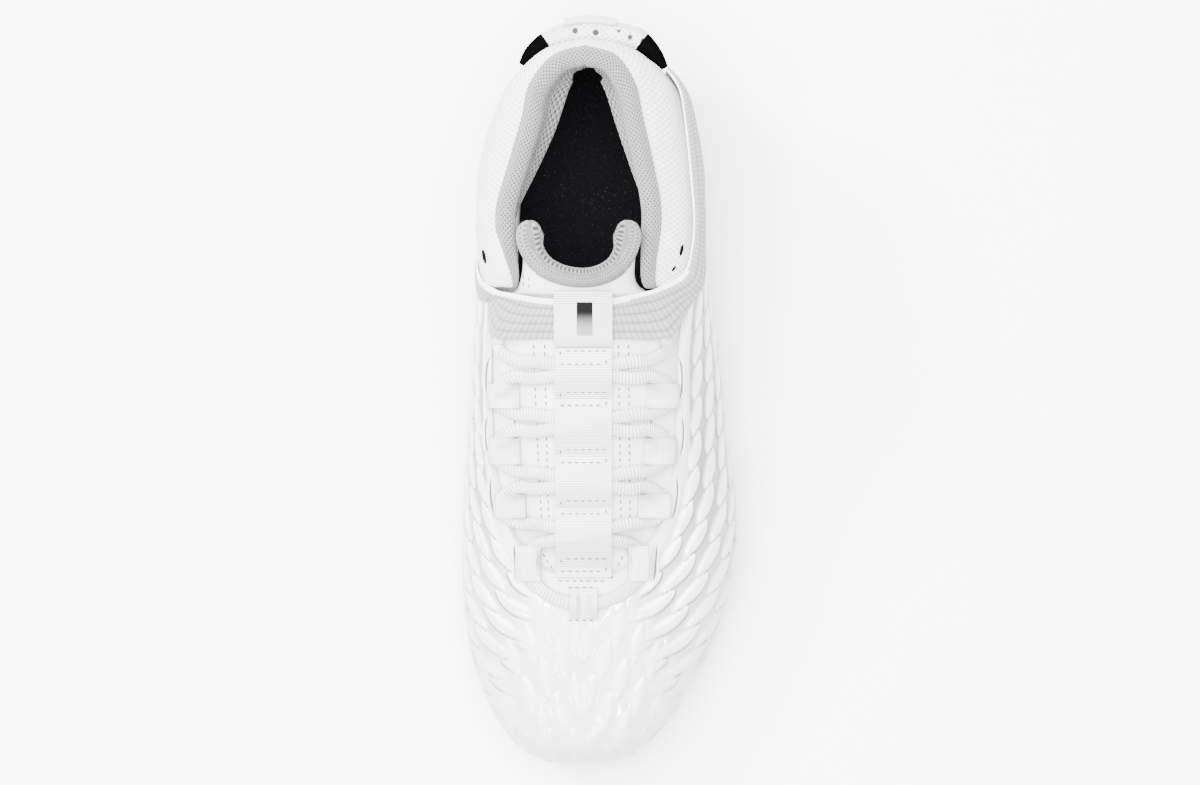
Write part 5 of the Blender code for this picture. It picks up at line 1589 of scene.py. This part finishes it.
def make_pull(under, looks):
    """Padded pull that lies round the back of the collar."""
    centre = heel_centre()
    level = PLATE_TOP + COLLAR_HEIGHT * PULL_LEVEL
    span = (PULL[-1][0] - PULL[0][0]) / (PULL_LENGTHS - 1)
    stations = []
    reach = []
    for i in range(PULL_LENGTHS):
        angle = PULL[0][0] + span * i
        half_thick = 0.5 * PULL_THICK * spline(PULL, 1, angle)
        half_tall = 0.5 * PULL_HEIGHT * spline(PULL, 2, angle)
        turn = math.radians(angle)
        direction = Vector((math.sin(turn), math.cos(turn), 0))
        found = []
        for part in PULL_LOOK:
            r = under.reach(Vector((centre.x, centre.y, level + half_tall * part)), direction)
            if r is not None:
                found.append(r + CLEARANCE - half_thick * (1 - math.sqrt(1 - part * part)))
        reach.append(max(found))
        stations.append((direction, half_thick, half_tall))
    reach = ease(reach, PULL_SMOOTHING, lambda a, b, c: max(b, 0.5 * (a + c)))
    round_it = [2 * math.pi * k / PULL_ROUND for k in range(PULL_ROUND)]
    grid = []
    for (direction, half_thick, half_tall), r in zip(stations, reach):
        middle = centre + direction * (r + half_thick) + Vector((0, 0, level))
        grid.append([middle + direction * (half_thick * math.cos(turn))
                     + Vector((0, 0, half_tall * math.sin(turn))) for turn in round_it])

    def pick(i, _):
        return 1 if i < PULL_ENDS or i >= PULL_LENGTHS - PULL_ENDS - 1 else 0

    made = surface("pull_loop", grid, looks, tube=True, caps=True, smooth_angle=70, pick=pick)
    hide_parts("heel_pull")
    return wear(made)


def make_heel_tab(under, looks):
    """Flat webbing down the back of the heel."""
    centre = heel_centre()
    low = PLATE_TOP + TAB_LOW * COLLAR_HEIGHT
    high = PLATE_TOP + TAB_HIGH * COLLAR_HEIGHT
    rows, columns = TAB_GRID
    direction = Vector((0, 1, 0))
    inside = [[None] * columns for _ in range(rows)]
    for j in range(columns):
        x = centre.x + TAB_WIDTH * (j / (columns - 1) - 0.5)
        line = []
        for i in range(rows):
            z = low + (high - low) * i / (rows - 1)
            found = [under.reach(Vector((x + aside, centre.y, z)), direction)
                     for aside in (-TAB_LOOK, 0.0, TAB_LOOK)]
            line.append((z - low, max(r for r in found if r is not None)))
        for i, r in enumerate(taut(line, CLEARANCE)):
            inside[i][j] = Vector((x, centre.y + r, low + line[i][0]))
    outside = [[place + direction * TAB_THICK for place in row] for row in inside]
    made = sheet_piece("tab_webbing", outside, inside, looks)
    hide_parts("heel_tab")
    return wear(made)


# Stitches, slits and label

def new_ball(name, segments, rings, place=(0, 0, 0)):
    """Ball of diameter 1, for beads and ridges."""
    deselect()
    bpy.ops.mesh.primitive_uv_sphere_add(segments=segments, ring_count=rings, radius=0.5, location=place)
    ball = bpy.context.object
    ball.name = name
    return ball


def stitch_shape():
    """One stitch along X, a stretched ball."""
    ball = new_ball("stitch", 8, 6)
    ball.scale = (STITCH_LONG, STITCH_THICK, STITCH_THICK)
    settle(ball)
    points = [v.co.copy() for v in ball.data.vertices]
    faces = [tuple(f.vertices) for f in ball.data.polygons]
    bpy.data.objects.remove(ball)
    return points, faces


def along_path(path, run, at):
    """Point at a distance along a row of points, run being their running distances."""
    at = min(at, run[-1])
    i = min(max(bisect_right(run, at) - 1, 0), len(path) - 2)
    part = (at - run[i]) / (run[i + 1] - run[i])
    return path[i] + (path[i + 1] - path[i]) * part


def sew(name, rows, under, look):
    """Stitches along rows of points, half sunk into what lies under them."""
    shape, shape_faces = stitch_shape()
    points = []
    faces = []
    pitch = STITCH_LONG + STITCH_GAP
    for path in rows:
        run = even(path)
        for k in range(max(int(run[-1] / pitch), 1)):
            a, b = (along_path(path, run, at) for at in (k * pitch, k * pitch + STITCH_LONG))
            a.z = under.ground(a)
            b.z = under.ground(b)
            if (b - a).length < STITCH_SHORTEST or abs(b.z - a.z) > STITCH_STEEPEST:
                continue
            along = (b - a).normalized()
            across = Vector((-along.y, along.x, 0)).normalized()
            up = along.cross(across)
            middle = 0.5 * (a + b) + up * (STITCH_RISE * STITCH_THICK)
            base = len(points)
            points += [middle + along * p.x + across * p.y + up * p.z for p in shape]
            faces += [tuple(base + v for v in face) for face in shape_faces]
    mesh = bpy.data.meshes.new(name)
    mesh.from_pydata([tuple(p) for p in points], [], faces)
    mesh.shade_smooth()
    mesh.materials.append(look)
    return wear(stand(name, mesh))


def shares_to_rows(rows):
    """Smooth rows of stitches in metres."""
    paths = [[Vector((BALL_WIDTH * x, share_y(y), 0)) for x, y in row] for row in rows]
    return [smooth(path, STITCH_STEPS) if len(path) > 2 else path for path in paths]


def box_rows(middle):
    """Four sides of a stitched box on the strip."""
    corners = [Vector((MIDDLE_X + BOX_WIDE * x, middle + BOX_LONG * y, 0))
               for x, y in ((-1, -1), (1, -1), (1, 1), (-1, 1))]
    return [[corners[i], corners[(i + 1) % 4]] for i in range(4)]


def make_stitches(shell, tongue, strip, thread):
    boxes = [side for share in BOXES for side in box_rows(share_y(share))]
    sew("strip_stitches", boxes, Cover(strip), thread)
    sew("tongue_stitches", shares_to_rows(TONGUE_STITCHES), Cover(tongue), thread)
    sew("shell_stitches", shares_to_rows(SHELL_STITCHES), Cover(shell, tongue), thread)


def lay(thing, under, sunk=0.0):
    """Move each point of a flat piece up onto what lies under it."""
    for vertex in thing.data.vertices:
        vertex.co.z += under.ground(vertex.co) - sunk


def make_patch(name, middle, half, under, look):
    """Thin patch, modelled flat and laid on what is under it."""
    deselect()
    bpy.ops.mesh.primitive_grid_add(x_subdivisions=LABEL_GRID[0], y_subdivisions=LABEL_GRID[1],
                                    size=1.0, location=(0, 0, 0))
    patch = bpy.context.object
    patch.name = name
    patch.scale = (2 * half[0], 2 * half[1], 1.0)
    patch.location = (*middle, 0)
    settle(patch)
    bpy.context.view_layer.objects.active = patch
    patch.select_set(True)
    bpy.ops.object.mode_set(mode="EDIT")
    bpy.ops.mesh.select_all(action="SELECT")
    bpy.ops.mesh.extrude_region_move(TRANSFORM_OT_translate={"value": (0, 0, LABEL_THICK)})
    bpy.ops.object.mode_set(mode="OBJECT")
    lay(patch, under, LABEL_SINK)
    patch.select_set(False)
    patch.data.materials.append(look)
    return wear(patch)


def make_label(under):
    """Plain patch on the front label."""
    top = share_y(LABEL_TOP)
    foot = share_y(LABEL_FOOT)
    print_look = fading_look(top + LABEL_FADE[0], foot + LABEL_FADE[1])
    make_patch("label_print", (LABEL_X, 0.5 * (top + foot)), (LABEL_WIDE, 0.5 * (top - foot)), under,
               print_look)


def make_slot(name, x, y, long, wide, turn, under, look):
    """Small dark slot, a flattened bead sunk into the knit."""
    bead = new_ball(name, 16, 10, (x, y, under.height(x, y)))
    bead.scale = (wide, long, SLOT_DEEP)
    bead.rotation_euler = (0, 0, math.radians(turn))
    settle(bead)
    bead.data.shade_smooth()
    bead.data.materials.append(look)
    return wear(bead)


def make_slit(name, at, under, shift, wide, tall, look):
    """Spindle along a slit, modelled straight, then bent and laid on what is under it."""
    x, y, long, bend, turn = at
    ridge = new_ball(name, 10, 40)
    ridge.rotation_euler = (math.radians(90), 0, 0)
    settle(ridge)
    ridge.scale = (wide, long, tall)
    settle(ridge)
    for vertex in ridge.data.vertices:
        part = 2 * vertex.co.y / long
        vertex.co.x += bend * (1 - part * part) + shift
    ridge.rotation_euler = (0, 0, math.radians(turn))
    ridge.location = (x, y, 0)
    settle(ridge)
    lay(ridge, under)
    ridge.data.shade_smooth()
    ridge.data.materials.append(look)
    return wear(ridge)


def fading_look(y_dark, y_light):
    """Print that fades along the shoe from black to grey."""
    look = Look("print_fading", (0.02, 0.02, 0.02), 0.7, shine=0.1)
    parts = look.node("ShaderNodeSeparateXYZ")
    look.tree.links.new(look.place(), parts.inputs[0])
    look.paint(look.spread(parts.outputs[1], y_dark, y_light), (0.002, 0.002, 0.002), (0.24, 0.24, 0.25))
    look.bump(look.noise(1200.0), 0.00003)
    return look.made


def make_slits(shell):
    ridge_white = plain_look("ridge_white", WHITE, 0.3, 900.0, 0.00005, coat=0.4)
    slit_painted_shadow = plain_look("slit_painted_shadow", PAINTED_SHADOW_LINE, 0.6, 900.0, 0.00005)
    under = Cover(shell)
    for k, place in enumerate(SLITS):
        out = RIDGE_OUT if place[0] > MIDDLE_X else -RIDGE_OUT
        make_slit(f"slit_ridge_{k}", place, under, out, RIDGE_WIDE, RIDGE_TALL, ridge_white)
        # dark spindle sunk in the slit: painted shadow
        make_slit(f"slit_{k}", place, under, 0.0, SLIT_WIDE, SLIT_TALL, slit_painted_shadow)


def dress():
    white_knit = knitted("knit_white", (0.62, 0.62, 0.63), (0.42, 0.42, 0.43), 0.0022, 0.0019, 0.00014)
    grey_mesh = knitted("mesh_grey", (0.17, 0.17, 0.176), (0.03, 0.03, 0.033), 0.0020, 0.0020, 0.0003,
                        hole=-0.35)
    rim_mesh = knitted("mesh_rim", (0.16, 0.16, 0.166), (0.05, 0.05, 0.053), 0.0017, 0.0017, 0.0003,
                       hole=-0.45)
    open_mesh = knitted("mesh_open", (0.27, 0.27, 0.28), (0.010, 0.010, 0.011), 0.0030, 0.0048, 0.0005,
                        hole=0.0)
    wing_mesh = knitted("mesh_wing", (0.16, 0.16, 0.166), (0.02, 0.02, 0.022), 0.0026, 0.0026, 0.0004,
                        hole=0.0)
    smooth_white = plain_look("tongue_white", WHITE, 0.35, 700.0, 0.00012, coat=0.3)
    webbing = ribbed("webbing", WHITE, (0.42, 0.42, 0.43), 0.0011, 0.00010)
    satin = ribbed("label_satin", (0.62, 0.62, 0.63), (0.54, 0.54, 0.55), 0.0007, 0.00004, roughness=0.5)
    black_cloth = plain_look("cloth_black", (0.001, 0.001, 0.0011), 0.95, 1500.0, 0.0001, shine=0.0)
    hem = plain_look("hem_white", WHITE, 0.6, 1500.0, 0.00008)
    thread = plain_look("thread", THREAD, 0.7, 2000.0, 0.00005)
    slot_black = plain_look("slot_black", BLACK, 0.9, shine=0.05)

    shell = make_shell()
    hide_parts("upper")
    collar = make_collar([white_knit, grey_mesh, open_mesh])
    tongue = make_tongue([smooth_white, rim_mesh, wing_mesh])
    laces = make_laces(Cover(shell, tongue), [lace_look()])
    over_laces = Cover(shell, tongue, *laces)
    make_lace_loops(over_laces, [webbing])
    strip = make_strip(over_laces, [webbing])
    make_toe_loop(over_laces, [webbing])
    strap = make_strap(Cover(shell, tongue, collar, *laces), [strap_look(), hem])
    keeper = make_keeper(Cover(tongue, strap, *laces), [webbing, satin])
    pull = make_pull(Cover(shell, collar, strap), [pull_look(), black_cloth])
    make_heel_tab(Cover(shell, collar, pull), [webbing])
    make_stitches(shell, tongue, strip, thread)
    make_label(Cover(keeper))
    make_slits(shell)
    knit_cover = Cover(collar)
    for slot in SLOTS:
        make_slot(*slot, knit_cover, slot_black)


# Scene

def cad(node, look):
    """A solid that stays in view gets a look of its own."""
    thing = bpy.data.objects[node]
    thing.data.materials.clear()
    thing.data.materials.append(look)


def place_camera():
    data = bpy.data.cameras.new("camera")
    data.sensor_width = SENSOR
    data.lens = LENS
    made = stand("camera", data)
    made.location = CAMERA_PLACE
    bpy.context.scene.camera = made


def lamp(name, place, target, size, watts):
    data = bpy.data.lights.new(name, "AREA")
    data.shape = "RECTANGLE"
    data.size = size
    data.size_y = size
    data.energy = watts
    made = stand(name, data)
    made.location = place
    aim = Vector(target) - Vector(place)
    made.rotation_euler = aim.to_track_quat("-Z", "Y").to_euler()


def place_lights():
    world = bpy.data.worlds.new("studio")
    world.use_nodes = True
    sky = world.node_tree.nodes["Background"]
    sky.inputs["Color"].default_value = (1.0, 1.0, 1.0, 1.0)
    sky.inputs["Strength"].default_value = SKY
    bpy.context.scene.world = world
    for values in LAMPS:
        lamp(*values)


def make_floor():
    deselect()
    bpy.ops.mesh.primitive_plane_add(size=8.0, location=(0, 0, 0))
    floor = bpy.context.object
    floor.name = "floor"
    settle(floor)
    floor.data.materials.append(plain_look("floor_pale", (0.93, 0.93, 0.935), 0.9, 60.0, 0.0001))


place_camera()
dress()
cad("outsole", plate_look())
cad("insole", insole_look())
make_floor()
place_lights()
